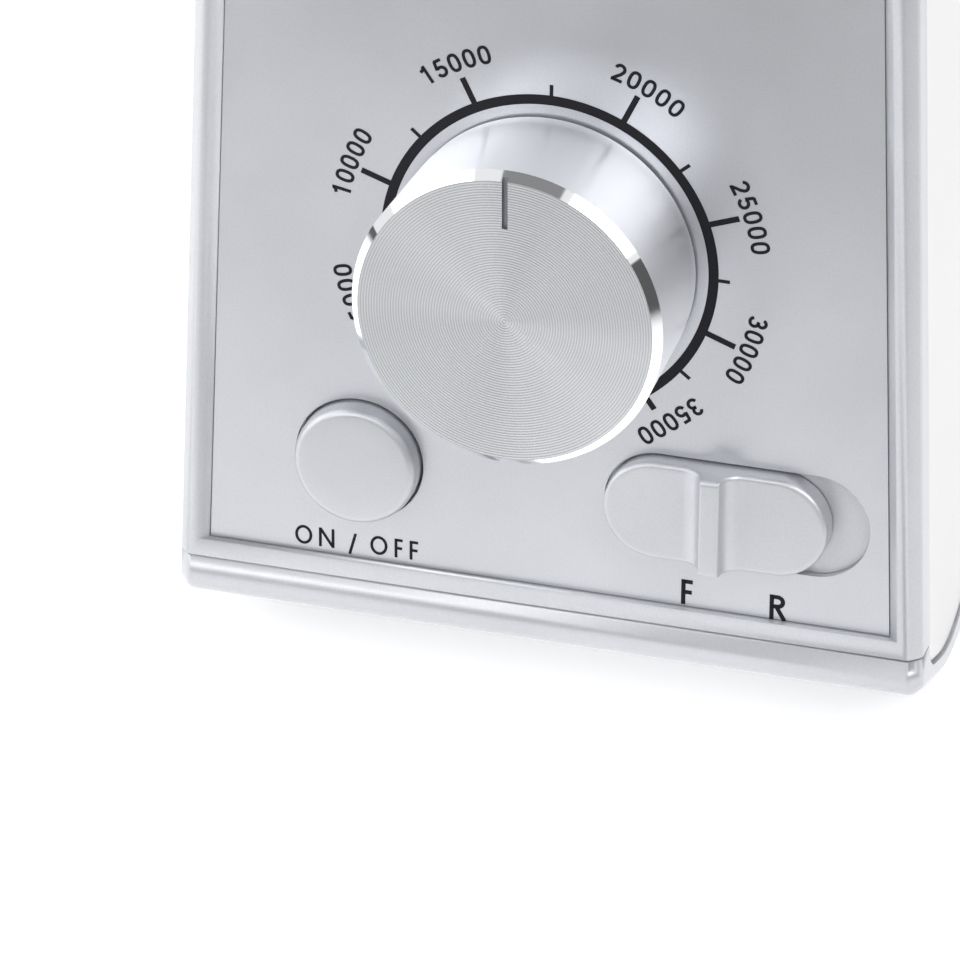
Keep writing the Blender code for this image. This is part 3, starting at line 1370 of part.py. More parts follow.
def make_fuse_holder(rear):
    place = (FUSE_X, 0.0, 0.0)
    flange_top = GAP + FUSE_FLANGE_THICKNESS
    body_low = flange_top - FUSE_BODY_DEPTH
    floor = body_low + WALL
    body = (
        (0.0, body_low),
        (FUSE_BODY_RADIUS, body_low),
        (FUSE_BODY_RADIUS, GAP),
        (FUSE_FLANGE_RADIUS, GAP),
        (FUSE_FLANGE_RADIUS, flange_top),
        (FUSE_BORE_RADIUS, flange_top),
        (FUSE_BORE_RADIUS, floor),
        (0.0, floor),
    )
    piece("fuse_holder", turned(body), "black_plastic", rear, place)
    nut_low = -(WALL + GAP + JACK_NUT_THICKNESS)
    make_nut(
        "fuse_holder_nut",
        FUSE_FLANGE_RADIUS,
        FUSE_BODY_RADIUS + GAP,
        nut_low,
        JACK_NUT_THICKNESS,
        rear,
        place,
    )
    cap_low = flange_top + GAP
    cap_top = cap_low + FUSE_CAP_HEIGHT
    cap = (
        (0.0, cap_low - FUSE_STEM_LENGTH),
        (FUSE_STEM_RADIUS, cap_low - FUSE_STEM_LENGTH),
        (FUSE_STEM_RADIUS, cap_low),
        (FUSE_CAP_RADIUS, cap_low),
        (FUSE_CAP_RADIUS, cap_top - FUSE_CAP_EDGE),
        (FUSE_CAP_RADIUS - FUSE_CAP_EDGE, cap_top),
        (0.0, cap_top),
    )
    fuse_cap = piece("fuse_cap", turned(cap), "black_plastic", rear, place)
    slot = box(
        (-FUSE_CAP_RADIUS - OVERRUN, -FUSE_SLOT_WIDTH / 2.0, cap_top - FUSE_SLOT_DEPTH),
        (FUSE_CAP_RADIUS + OVERRUN, FUSE_SLOT_WIDTH / 2.0, cap_top + OVERRUN),
    )
    cut(fuse_cap, helper("fuse_slot", slot, rear, place))


def make_jack(name, x, rear):
    """A round socket: its threaded bush passes the wall and its square body lies behind it."""
    place = (x, 0.0, 0.0)
    body_top = -(WALL + GAP)
    body_low = body_top - JACK_BODY_DEPTH
    half_width = JACK_BODY_WIDTH / 2.0
    half_height = JACK_BODY_HEIGHT / 2.0
    body = box((-half_width, -half_height, body_low), (half_width, half_height, body_top))
    jack = piece(name, body, "black_plastic", rear, place)
    bush = cylinder(JACK_BUSH_RADIUS, body_top - BITE, JACK_BUSH_TOP, ROUND_FACETS)
    join(jack, helper(f"{name}_bush", bush, rear, place))
    bore = cylinder(JACK_BORE_RADIUS, body_low + JACK_END_WALL, JACK_BUSH_TOP + OVERRUN, ROUND_FACETS)
    cut(jack, helper(f"{name}_bore", bore, rear, place))
    make_nut(f"{name}_nut", JACK_NUT_HALF_FLATS, JACK_BUSH_RADIUS + GAP, GAP, JACK_NUT_THICKNESS, rear, place)


def make_mode_switch(rear):
    """A small rocker switch that chooses hand or foot control."""
    place = (MODE_X, MODE_Y, 0.0)
    flange_top = GAP + MODE_FLANGE_THICKNESS
    body_low = flange_top - MODE_BODY_DEPTH
    housing = box(
        (-MODE_FLANGE_WIDTH / 2.0, -MODE_FLANGE_HEIGHT / 2.0, GAP),
        (MODE_FLANGE_WIDTH / 2.0, MODE_FLANGE_HEIGHT / 2.0, flange_top),
    )
    switch = piece("mode_switch_housing", housing, "black_plastic", rear, place)
    body = box(
        (-MODE_BODY_WIDTH / 2.0, -MODE_BODY_HEIGHT / 2.0, body_low),
        (MODE_BODY_WIDTH / 2.0, MODE_BODY_HEIGHT / 2.0, flange_top - GAP),
    )
    join(switch, helper("mode_body", body, rear, place))
    pivot_z = flange_top - ROCKER_PIVOT_DEPTH
    well = box(
        (-MODE_WELL_WIDTH / 2.0, -MODE_WELL_HEIGHT / 2.0, flange_top - MODE_WELL_DEPTH),
        (MODE_WELL_WIDTH / 2.0, MODE_WELL_HEIGHT / 2.0, flange_top + OVERRUN),
    )
    pin_reach = ROCKER_WIDTH / 2.0 + BITE
    hole_reach = pin_reach + GAP
    hole = from_side_to_side(cylinder(ROCKER_PIN_RADIUS + SHAFT_CLEARANCE, -hole_reach, hole_reach))
    pivot = (MODE_X, MODE_Y, pivot_z)
    cut(switch, helper("mode_well", well, rear, place), helper("pivot_hole", hole, rear, pivot))
    end = [(-ROCKER_HALF, ROCKER_EDGE)]
    end += [(-ROCKER_HALF * along, -ROCKER_ROOT * down) for along, down in ROCKER_SHARES]
    outline = end + [(-y, z) for y, z in reversed(end)] + [(0.0, ROCKER_VALLEY)]
    rings = [[(x, y, z) for y, z in outline] for x in (-ROCKER_WIDTH / 2.0, ROCKER_WIDTH / 2.0)]
    rocker = piece("mode_rocker", add_loft(bmesh.new(), rings), "black_plastic", rear, pivot)
    pin = from_side_to_side(cylinder(ROCKER_PIN_RADIUS, -pin_reach, pin_reach))
    pin_helper = helper("rocker_pin", pin, rear, pivot)
    join(rocker, pin_helper)
    for obj in (rocker, pin_helper):
        obj.rotation_euler = (ROCKER_TILT, 0.0, 0.0)


def make_signal_cable(unit):
    """A flat ribbon from the control board's back down to the main board."""
    board_back = -(CONTROL_BOARD_DEPTH + BOARD_THICKNESS + GAP)
    start = panel_point(-CONTROL_BOARD_DROP + WALL, board_back)
    outward = panel_point(0.0, -1.0)
    end = Vector((MAIN_BOARD_FRONT + WALL, floor_z() + MAIN_BOSS_HEIGHT + BOARD_THICKNESS + 2.0 * GAP))
    left, right = cable_sides()
    after_start = start + outward * CABLE_BEND
    before_end = end + Vector((0.0, CABLE_BEND))
    points = []
    for k in range(CABLE_STEPS + 1):
        t = k / CABLE_STEPS
        first = start.lerp(after_start, t)
        middle = after_start.lerp(before_end, t)
        last = before_end.lerp(end, t)
        points.append(first.lerp(middle, t).lerp(middle.lerp(last, t), t))
    rings = []
    for k, point in enumerate(points):
        if k == 0:
            along = outward
        elif k == CABLE_STEPS:
            along = Vector((0.0, -1.0))
        else:
            along = (points[k + 1] - points[k - 1]).normalized()
        across_strip = Vector((-along.y, along.x)) * CABLE_THICKNESS / 2.0
        rings.append([
            (left, *(point - across_strip)),
            (right, *(point - across_strip)),
            (right, *(point + across_strip)),
            (left, *(point + across_strip)),
        ])
    piece("signal_cable", add_loft(bmesh.new(), rings), "grey_cable", unit)


def centre_on_origin(root):
    """Stands the unit on z = 0, with the middle of its box over the origin."""
    bpy.context.view_layer.update()
    graph = bpy.context.evaluated_depsgraph_get()
    depths = []
    for obj in bpy.context.scene.objects:
        if obj.type != "MESH" or obj.hide_render:
            continue
        evaluated = obj.evaluated_get(graph)
        depths += [(evaluated.matrix_world @ vertex.co).y for vertex in evaluated.data.vertices]
    root.location.y = -(min(depths) + max(depths)) / 2.0


def main():
    clear_scene()
    root = make_frame("drill_unit", None, (0.0, 0.0, DIAL_ABOVE_BASE + FOOT_STAND))
    panel = make_frame("panel_frame", root, rotation=(math.pi / 2.0 - LEAN, 0.0, 0.0))
    row = SOCKET_ROW_HEIGHT - DIAL_ABOVE_BASE
    wall_outside = back_inner_y(row) + WALL / math.cos(BACK_LEAN)
    rear = make_frame("rear_frame", root, (0.0, wall_outside, row), (math.pi / 2.0 - BACK_LEAN, 0.0, math.pi))
    make_front_shell(root, panel)
    make_faceplate(panel)
    make_lower_shell(root)
    make_rear_cover(root, rear)
    make_side_panels(root)
    make_feet(root)
    make_rear_screws(root)
    make_knob(panel)
    make_potentiometer(panel)
    make_power_button(panel)
    make_direction_slider(panel)
    make_control_board(panel)
    make_main_board(root)
    make_transformer(root)
    make_mains_inlet(rear)
    make_fuse_holder(rear)
    make_jack("pedal_jack", PEDAL_X, rear)
    make_jack("handpiece_jack", HANDPIECE_X, rear)
    make_mode_switch(rear)
    make_signal_cable(root)
    centre_on_origin(root)


main()
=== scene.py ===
"""Looks of the nail drill's control unit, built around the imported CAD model. Metres, +Z up."""

import json
import math

import bmesh
import bpy
from mathutils import Matrix, Vector


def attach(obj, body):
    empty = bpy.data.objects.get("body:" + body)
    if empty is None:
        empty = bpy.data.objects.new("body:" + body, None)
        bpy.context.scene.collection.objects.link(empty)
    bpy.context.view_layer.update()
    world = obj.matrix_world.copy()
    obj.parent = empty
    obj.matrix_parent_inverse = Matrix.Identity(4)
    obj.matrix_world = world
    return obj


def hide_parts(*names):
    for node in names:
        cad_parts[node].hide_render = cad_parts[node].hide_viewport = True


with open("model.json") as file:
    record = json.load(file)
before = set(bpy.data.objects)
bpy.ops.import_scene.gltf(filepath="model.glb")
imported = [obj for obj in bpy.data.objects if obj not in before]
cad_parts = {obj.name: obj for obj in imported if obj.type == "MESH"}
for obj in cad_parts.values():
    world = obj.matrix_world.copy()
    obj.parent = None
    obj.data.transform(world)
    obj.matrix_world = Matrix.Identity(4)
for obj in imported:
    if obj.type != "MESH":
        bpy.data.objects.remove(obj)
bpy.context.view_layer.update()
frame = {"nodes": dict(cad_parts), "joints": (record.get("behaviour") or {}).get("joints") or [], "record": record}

# The panel's own frame, as part.py has it: x to the right, y up the slope, z out through the dial's middle
LEAN = math.radians(18.0)
JOINTS = {joint["name"]: joint for joint in frame["joints"]}
DIAL = Vector(JOINTS["speed_knob_turn"]["pos_m"])
PANEL = Matrix.Translation(DIAL) @ Matrix.Rotation(math.pi / 2.0 - LEAN, 4, "X")

# Camera, solved from the photograph
CAMERA_PLACE = (0.25804, -0.72743, 0.77625)
CAMERA_TURN = (45.1107, 4.9463, 16.2447)
CAMERA_LENS = 250.55
CAMERA_SENSOR = 36.0
CAMERA_REACH = 20.0

# Sizes that part.py also has
GAP = 0.0003
RUNNING_GAP = 0.0004
SIDE_TAPER = math.radians(2.3)
RECESS_HALF = 0.0536
RECESS_DROP = 0.0576
RECESS_RISE = 0.0745
PLATE_THICKNESS = 0.0010
FRONT_WALL = 0.0022
BUSH_HOLE_RADIUS = 0.0049
KNOB_LOW = 0.0007
KNOB_SKIRT_RADIUS = 0.0236
KNOB_STEP_HEIGHT = 0.0034
KNOB_LOW_RADIUS = 0.0239
KNOB_CHAMFER_RADIUS = 0.0245
KNOB_CHAMFER_HEIGHT = 0.0224
KNOB_FACE_RADIUS = 0.0232
KNOB_HEIGHT = 0.0238
KNOB_FACE_THICKNESS = 0.0045
KNOB_WALL = 0.0022
KNOB_DISH = 0.0002
POINTER_INNER = 0.0154
POINTER_WIDTH = 0.0009
POINTER_DEPTH = 0.0006
BUTTON_U = -0.0307
BUTTON_V = -0.0398
BUTTON_RADIUS = 0.0101
BUTTON_HEIGHT = 0.0033
BUTTON_ROUND = 0.0012
BUTTON_FLANGE = 0.0014
BUTTON_FLANGE_THICKNESS = 0.0014
BUTTON_CAP_WALL = 0.0022
BUTTON_STEM_RADIUS = 0.0028
BUTTON_STEM_DEPTH = 0.0067
SLIDE_U = 0.0308
SLIDE_V = -0.0401
SLIDE_TRAVEL = 0.0058
SLIDE_HALF_LENGTH = 0.0213
SLIDE_RADIUS = 0.00875
LOBE_HEIGHT = 0.0027
RIDGE_HEIGHT = 0.0063
RIDGE_WIDTH = 0.0032
STEM_LENGTH = 0.0070
STEM_WIDTH = 0.0054
STEM_DEPTH = 0.0080

# Values that only this script has
OVERRUN = 0.002  # how far a cutter passes the face that it cuts
WELD = 0.000001
SHARP_ANGLE = math.radians(28.0)
KNOB_FACETS = 256
KNOB_FACE_SHARES = (0.0, 0.25, 0.5, 0.75)  # of the face's radius
KNOB_SOFT_EDGE = 0.00010
BUTTON_FACETS = 128
BUTTON_FLAT_SHARE = 0.6  # of the button's radius
BUTTON_DRAFT = 0.0001
BUTTON_SHOULDER = 0.0015
BUTTON_ROUND_STEPS = 10
SLIDE_ROUND = 0.0007
SLIDE_ROUND_STEPS = 6
SLIDE_INSETS = (0.0011, 0.0020, 0.0035, 0.0055)
SLIDE_END_STEPS = 48
RIDGE_ROUND = 0.00035
RIDGE_FLAT_SHARES = (0.0, 0.4)  # of half the ridge
RIDGE_ROUND_SHARES = (1.0, 0.75, 0.5, 0.3, 0.15, 0.0)
SCOOP_START_SHARE = 0.6  # of the ridge's rounding, below its top
SCOOP_STEPS = 14
LOBE_SHARES = (0.3, 0.65, 1.0)  # of the flat lobe's length
PLATE_GAP = 0.00015
PLATE_BEVEL = 0.00018
PLATE_BEVEL_ANGLE = math.radians(60.0)
BUSH_HOLE_FACETS = 64
HOLE_FACETS = 128

# CAD nodes with rounded forms that show from outside
SMOOTH_SHAPES = (
    "front_shell",
    "lower_shell",
    "rear_cover",
    "side_panel_left",
    "side_panel_right",
    "foot_front_left",
    "foot_front_right",
    "foot_rear_left",
    "foot_rear_right",
    "mains_inlet",
    "fuse_holder",
    "fuse_cap",
    "handpiece_jack",
    "pedal_jack",
)

# Printed dial. Strokes and half widths of its signs are shares of their height
INK_HEIGHT = 0.00004
RING_INNER = 0.02545
RING_OUTER = 0.02705
RING_HALF_SWEEP = 144.0
RING_STEPS = 180
TICK_HEIGHT_SHARE = 0.9  # of the ink's height, so that no tick lies level with the ring
TICK_OVERLAP = 0.0002
MINOR_TICK = 0.0018
MAJOR_WIDTH = 0.00095
MINOR_WIDTH = 0.00058
DIGIT_HEIGHT = 0.0031
DIGIT_STROKE_SHARE = 0.170
DIGIT_HALF_SHARE = 0.240
DIGIT_PITCH = 0.00244
WORD_HEIGHT = 0.00335
WORD_STROKE_SHARE = 0.140
LETTER_HEIGHT = 0.0044
LETTER_STROKE_SHARE = 0.160
ARC_STEPS = 14
OVAL_STEPS = 40
DIGIT_SQUARENESS = 2.5  # 2 is an ellipse
LETTER_SQUARENESS = 2.0
LEAST_MITRE = 0.5

# Degrees clockwise from the top, the tick's outer radius, the number there, its turn past the tick
MAJOR_TICKS = (
    (-144.0, 0.0319, "0", 0.0),
    (-110.4, 0.0319, "5000", 1.8),
    (-70.9, 0.0319, "10000", 0.65),
    (-26.4, 0.0314, "15000", -0.2),
    (25.6, 0.0319, "20000", 1.5),
    (70.5, 0.0319, "25000", 0.4),
    (110.4, 0.0319, "30000", -0.8),
    (144.0, 0.02935, "35000", -2.0),
)
MINOR_TICKS = (-127.7, -90.5, -50.0, 0.4, 50.1, 90.5, 127.7)
NUMBER_BASELINE = 0.0325
# The last number stands nearer the ring and is set almost in line
LAST_NUMBER = "35000"
LAST_BASELINE = 0.0308
LAST_BEND = 0.110
# Letter, its middle on the panel, half width, height and stroke
LETTERS = (
    ("O", -0.04007, -0.05480, 0.427, WORD_HEIGHT, WORD_STROKE_SHARE),
    ("N", -0.03623, -0.05480, 0.386, WORD_HEIGHT, WORD_STROKE_SHARE),
    ("/", -0.03190, -0.05500, 0.220, WORD_HEIGHT, WORD_STROKE_SHARE),
    ("O", -0.02753, -0.05480, 0.427, WORD_HEIGHT, WORD_STROKE_SHARE),
    ("F", -0.02425, -0.05480, 0.200, WORD_HEIGHT, WORD_STROKE_SHARE),
    ("F", -0.02172, -0.05480, 0.210, WORD_HEIGHT, WORD_STROKE_SHARE),
    ("F", 0.02308, -0.05497, 0.212, LETTER_HEIGHT, LETTER_STROKE_SHARE),
    ("R", 0.03772, -0.05536, 0.290, LETTER_HEIGHT, LETTER_STROKE_SHARE),
)

# Floor: what the camera sees grows to white away from the object, so its shadow stays near it
FLOOR_HALF = 3.0
FLOOR_LEVEL = -0.0002
FLOOR_COLOUR = (0.80, 0.80, 0.80, 1.0)
FLOOR_GLOW_COLOUR = (1.0, 1.0, 1.0, 1.0)
FLOOR_ROUGHNESS = 0.9
PALE_START = 0.20
PALE_END = 0.60
PALE_NEAR = 0.45
PALE_FAR = 1.0
# What metal mirrors of the floor is a pool of light beside the object
POOL_MIDDLE = (-0.25, 0.0, 0.0)
POOL_START = 0.25
POOL_REACH = 0.95
POOL_NEAR = 0.95
POOL_FAR = 0.0

# Studio: light from the room and what metal mirrors of it
ROOM_LIGHT = 0.08
ROOM_MIRRORED = 1.0
# Azimuth, elevation, full radius, outer radius in degrees, light kept
DARK_CARDS = (
    (0.0, 90.0, 16.5, 18.0, 0.30),
    (73.0, 8.0, 13.5, 14.5, 0.12),
    (29.0, 8.0, 8.0, 16.0, 0.30),
    (34.0, 34.0, 10.0, 22.0, 0.12),
    (-12.0, 8.0, 8.0, 20.0, 0.20),
)
# Azimuth, elevation, distance, sides, power
LAMPS = (
    ("left_box", -91.0, 36.0, 0.70, (0.85, 0.60), 2.3),
    ("left_low", -72.0, 8.0, 0.50, (0.25, 0.25), 0.32),
    ("right_box", 71.0, 47.0, 0.70, (0.50, 0.52), 2.8),
    ("front_left", -30.0, 32.0, 0.60, (0.20, 0.20), 0.46),
    ("front_middle", -8.0, 47.0, 0.60, (0.20, 0.20), 0.21),
    ("front_right", 22.0, 38.0, 0.60, (0.28, 0.28), 0.37),
    ("key", -41.0, 10.0, 0.39, (0.20, 0.20), 0.09),
    ("back_right", 145.0, 35.0, 0.70, (0.40, 0.40), 0.3),
    ("back_left", -160.0, 30.0, 0.70, (0.40, 0.40), 1.2),
)

# Colour, roughness, metallic, grain size and depth, drift, coat, and how far edges look rounded
SURFACES = {
    "silver_paint": ((0.56, 0.57, 0.60), 0.36, 0.45, 0.00033, 0.000012, 0.08, 0.10, 0.00025),
    "silver_grain": ((0.52, 0.53, 0.56), 0.34, 0.70, 0.00033, 0.000012, 0.08, 0.0, 0.00020),
    "white_plastic": ((0.88, 0.88, 0.89), 0.28, 0.0, 0.0006, 0.000001, 0.005, 0.15, 0.00030),
    "bright_chamfer": ((0.80, 0.81, 0.83), 0.05, 1.0, 0.0010, 0.0, 0.01, 0.0, 0.0),
    # Pointer groove: aluminium darkened to paint the shade inside the cut
    "shaded_groove": ((0.22, 0.22, 0.25), 0.45, 0.8, 0.0002, 0.000010, 0.10, 0.0, 0.0),
    "plain_aluminium": ((0.66, 0.67, 0.69), 0.34, 1.0, 0.0004, 0.000010, 0.04, 0.0, 0.0),
    "black_plastic": ((0.022, 0.022, 0.024), 0.42, 0.0, 0.0003, 0.000020, 0.15, 0.0, 0.0),
    "black_rubber": ((0.020, 0.020, 0.021), 0.78, 0.0, 0.0004, 0.000040, 0.20, 0.0, 0.0),
    "plated_steel": ((0.58, 0.58, 0.60), 0.26, 1.0, 0.0004, 0.000006, 0.05, 0.0, 0.0),
    "brass": ((0.72, 0.56, 0.26), 0.26, 1.0, 0.0004, 0.000006, 0.05, 0.0, 0.0),
    "circuit_board": ((0.020, 0.150, 0.060), 0.32, 0.0, 0.0008, 0.000008, 0.15, 0.4, 0.0),
    "copper_wire": ((0.55, 0.22, 0.08), 0.40, 0.5, 0.0006, 0.000060, 0.20, 0.0, 0.0),
    "laminated_steel": ((0.16, 0.16, 0.17), 0.50, 0.8, 0.0005, 0.000030, 0.15, 0.0, 0.0),
    "capacitor_sleeve": ((0.02, 0.04, 0.12), 0.30, 0.0, 0.0008, 0.000006, 0.08, 0.5, 0.0),
    "grey_cable": ((0.36, 0.36, 0.38), 0.55, 0.0, 0.0010, 0.000030, 0.08, 0.0, 0.0),
    "printed_ink": ((0.010, 0.010, 0.014), 0.50, 0.0, 0.0002, 0.000004, 0.10, 0.0, 0.0),
}
INK_SPECULAR = 0.15
# Colour, roughness, anisotropy, and the pitch, depth and contrast of the turning marks
TURNED_METALS = {
    # Spun face: its turning marks are real, and its colour is set darker than the flank's same aluminium as
    # painted shade
    "spun_face_shaded": ((0.535, 0.545, 0.565), 0.24, 0.92, 0.00043, 0.000004, 0.13),
    "satin_flank": ((0.85, 0.86, 0.89), 0.37, 0.86, 0.00030, 0.0, 0.0),
}
TURNED_GRAIN = 0.0004
TURNED_DRIFT = 0.02
ACROSS_MARKS = 0.25  # of a full turn
GRAIN_DETAIL = 2.0
GRAIN_ROUGHNESS = 0.6
DRIFT_SCALE = 35.0
DRIFT_DETAIL = 3.0
DRIFT_ROUGHNESS = 0.5
# The two noises' sum between which a colour goes from dark to light
DARK_SUM = 0.6
LIGHT_SUM = 1.4


# Nodes


def feed(tree, socket, source):
    """Links an input to another node's output, or sets it to a plain value."""
    if isinstance(source, bpy.types.NodeSocket):
        tree.links.new(source, socket)
    else:
        socket.default_value = source


def add_node(tree, kind, **inputs):
    node = tree.nodes.new(kind)
    for name, source in inputs.items():
        feed(tree, node.inputs[name.replace("_", " ")], source)
    return node


def combine(tree, operation, *sources, kind="ShaderNodeMath", output="Value"):
    """The output of a math node whose inputs are linked or set in their order."""
    node = tree.nodes.new(kind)
    node.operation = operation
    for socket, source in zip(node.inputs, sources):
        feed(tree, socket, source)
    return node.outputs[output]


def measure(tree, operation, *sources):
    """A number that is worked out from vectors."""
    return combine(tree, operation, *sources, kind="ShaderNodeVectorMath")


def multiply_vectors(tree, first, second):
    return combine(tree, "MULTIPLY", first, second, kind="ShaderNodeVectorMath", output="Vector")


def map_range(tree, source, low, high, start, end, smooth=False):
    """Takes low to start and high to end, and holds both beyond them."""
    ends = {"From_Min": low, "From_Max": high, "To_Min": start, "To_Max": end}
    node = add_node(tree, "ShaderNodeMapRange", Value=source, **ends)
    if smooth:
        node.interpolation_type = "SMOOTHSTEP"
    return node.outputs["Result"]


# Materials


def add_noise(tree, place, scale, detail, roughness):
    inputs = {"Vector": place, "Scale": scale, "Detail": detail, "Roughness": roughness}
    return add_node(tree, "ShaderNodeTexNoise", **inputs).outputs["Fac"]


def surface(name, colour, roughness, metallic, grain, grain_depth, drift, coat, edge):
    """A surface whose fine grain is in its bump and colour, with a slow drift in tone and gloss."""
    material = bpy.data.materials.new(name)
    material.use_nodes = True
    tree = material.node_tree
    shader = tree.nodes["Principled BSDF"]
    shader.inputs["Metallic"].default_value = metallic
    shader.inputs["Coat Weight"].default_value = coat
    place = add_node(tree, "ShaderNodeTexCoord").outputs["Object"]
    fine = add_noise(tree, place, 1.0 / grain, GRAIN_DETAIL, GRAIN_ROUGHNESS)
    slow = add_noise(tree, place, DRIFT_SCALE, DRIFT_DETAIL, DRIFT_ROUGHNESS)
    both = combine(tree, "ADD", fine, slow)
    tones = tree.nodes.new("ShaderNodeMix")
    tones.data_type = "RGBA"
    feed(tree, tones.inputs["Factor"], map_range(tree, both, DARK_SUM, LIGHT_SUM, 0.0, 1.0))
    for end, share in (("A", 1.0 - drift), ("B", 1.0 + drift)):
        tones.inputs[end].default_value = (*(channel * share for channel in colour), 1.0)
    feed(tree, shader.inputs["Base Color"], tones.outputs["Result"])
    dull, sharp = roughness * (1.0 + drift), roughness * (1.0 - drift)
    feed(tree, shader.inputs["Roughness"], map_range(tree, slow, 0.0, 1.0, sharp, dull))
    if grain_depth:
        bump = add_node(tree, "ShaderNodeBump", Distance=grain_depth, Height=fine)
        feed(tree, shader.inputs["Normal"], bump.outputs["Normal"])
        if edge:
            rounded = add_node(tree, "ShaderNodeBevel", Radius=edge)
            feed(tree, bump.inputs["Normal"], rounded.outputs["Normal"])
    return material


def turned_metal(name, colour, roughness, anisotropy, pitch, depth, contrast):
    """Metal with concentric turning marks about the object's own z axis, in its bump and its tone."""
    material = surface(name, colour, roughness, 1.0, TURNED_GRAIN, 0.0, TURNED_DRIFT, 0.0, 0.0)
    tree = material.node_tree
    shader = tree.nodes["Principled BSDF"]
    shader.inputs["Anisotropic"].default_value = anisotropy
    shader.inputs["Anisotropic Rotation"].default_value = ACROSS_MARKS
    tangent = tree.nodes.new("ShaderNodeTangent")
    tangent.direction_type = "RADIAL"
    tangent.axis = "Z"
    feed(tree, shader.inputs["Tangent"], tangent.outputs["Tangent"])
    place = add_node(tree, "ShaderNodeTexCoord").outputs["Object"]
    radius = measure(tree, "LENGTH", multiply_vectors(tree, place, (1.0, 1.0, 0.0)))
    wave = combine(tree, "SINE", combine(tree, "MULTIPLY", radius, 2.0 * math.pi / pitch))
    bump = add_node(tree, "ShaderNodeBump", Distance=depth, Height=wave)
    feed(tree, shader.inputs["Normal"], bump.outputs["Normal"])
    lined = map_range(tree, wave, -1.0, 1.0, 1.0 - contrast, 1.0 + contrast)
    base = shader.inputs["Base Color"]
    feed(tree, base, multiply_vectors(tree, base.links[0].from_socket, lined))
    return material


MATERIALS = {name: surface(name, *row) for name, row in SURFACES.items()}
MATERIALS.update({name: turned_metal(name, *row) for name, row in TURNED_METALS.items()})
INK = MATERIALS["printed_ink"]
INK.node_tree.nodes["Principled BSDF"].inputs["Specular IOR Level"].default_value = INK_SPECULAR

SLOT_MATERIALS = {**MATERIALS, "spun_aluminium": MATERIALS["satin_flank"]}
SLOT_OF = {subpart["node"]: subpart["material_slot"] for subpart in frame["record"]["subparts"]}
BODY_OF = {name: body for body, names in frame["record"]["behaviour"]["bodies"].items() for name in names}


def dress_cad_nodes():
    for name, slot in SLOT_OF.items():
        node = frame["nodes"][name]
        node.data.materials.clear()
        node.data.materials.append(SLOT_MATERIALS[slot])


# Building


def to_object(name, bm, matrix, *materials):
    mesh = bpy.data.meshes.new(name)
    bmesh.ops.recalc_face_normals(bm, faces=bm.faces)
    bm.to_mesh(mesh)
    bm.free()
    obj = bpy.data.objects.new(name, mesh)
    bpy.context.collection.objects.link(obj)
    obj.matrix_world = matrix
    for material in materials:
        mesh.materials.append(material)
    mesh.shade_smooth()
    mesh.set_sharp_from_angle(angle=SHARP_ANGLE)
    return obj


def bridge(bm, low, high, closed=True, zone=0):
    """Faces between two rows of vertices, either of which can be a single one."""
    count = max(len(low), len(high))
    for k in range(count if closed else count - 1):
        j = (k + 1) % count
        corners = [low[k % len(low)], low[j % len(low)], high[j % len(high)], high[k % len(high)]]
        face = bm.faces.new(list(dict.fromkeys(corners)))
        face.material_index = zone


def loft(bm, rings, closed=False):
    """A skin over a row of rings, which closes on itself or has a flat face at each end."""
    for low, high in zip(rings, rings[1:]):
        bridge(bm, low, high)
    if closed:
        bridge(bm, rings[-1], rings[0])
    else:
        bm.faces.new(rings[0])
        bm.faces.new(rings[-1])


def turned(profile, steps, zones=()):
    """A profile of (radius, height) points spun about z. Zones can give each segment's material."""
    bm = bmesh.new()
    rings = []
    for radius, height in profile:
        outline = circle(radius, steps) if radius else [(0.0, 0.0)]
        rings.append([bm.verts.new((x, y, height)) for x, y in outline])
    for k, (low, high) in enumerate(zip(rings, rings[1:])):
        bridge(bm, low, high, zone=zones[k] if zones else 0)
    return bm


def prism(outline, low, high):
    bm = bmesh.new()
    loft(bm, [[bm.verts.new((x, y, z)) for x, y in outline] for z in (low, high)])
    return bm


def rectangle(width, low, high):
    """Corners of a rectangle that is centred across."""
    half = width / 2.0
    return [(-half, low), (half, low), (half, high), (-half, high)]


def circle(radius, steps, centre=(0.0, 0.0)):
    turns = [2.0 * math.pi * k / steps for k in range(steps)]
    return [(centre[0] + radius * math.cos(t), centre[1] + radius * math.sin(t)) for t in turns]


def stadium(half_length, radius, steps, centre=(0.0, 0.0)):
    points = []
    for side in (1.0, -1.0):
        middle = centre[0] + side * (half_length - radius)
        for k in range(steps // 2 + 1):
            turn = side * (-math.pi / 2.0 + 2.0 * math.pi * k / steps)
            points.append((middle + side * radius * math.cos(turn), centre[1] + radius * math.sin(turn)))
    return points


def quarter_turn(steps):
    return [math.pi / 2.0 * k / steps for k in range(steps + 1)]


def fillet(radius, top, corner_radius, steps):
    """Points of a quarter-round edge, from the flat top out to the wall."""
    points = []
    for turn in quarter_turn(steps):
        reach = corner_radius * (1.0 - math.sin(turn))
        drop = corner_radius * (1.0 - math.cos(turn))
        points.append((radius - reach, top - drop))
    return points


def subtract(obj, tool_mesh, matrix):
    """Cuts one shape out of an object and applies the cut."""
    tool = to_object(f"{obj.name}_tool", tool_mesh, matrix)
    modifier = obj.modifiers.new("cut", "BOOLEAN")
    modifier.operation = "DIFFERENCE"
    modifier.solver = "EXACT"
    modifier.object = tool
    bpy.context.view_layer.update()
    graph = bpy.context.evaluated_depsgraph_get()
    result = bpy.data.meshes.new_from_object(obj.evaluated_get(graph))
    obj.modifiers.remove(modifier)
    old = obj.data
    obj.data = result
    bpy.data.meshes.remove(old)
    bpy.data.objects.remove(tool)
    obj.data.set_sharp_from_angle(angle=SHARP_ANGLE)


def part(obj, body, slot, *replaced):
    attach(obj, body)
    if replaced:
        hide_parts(*replaced)


# Housing


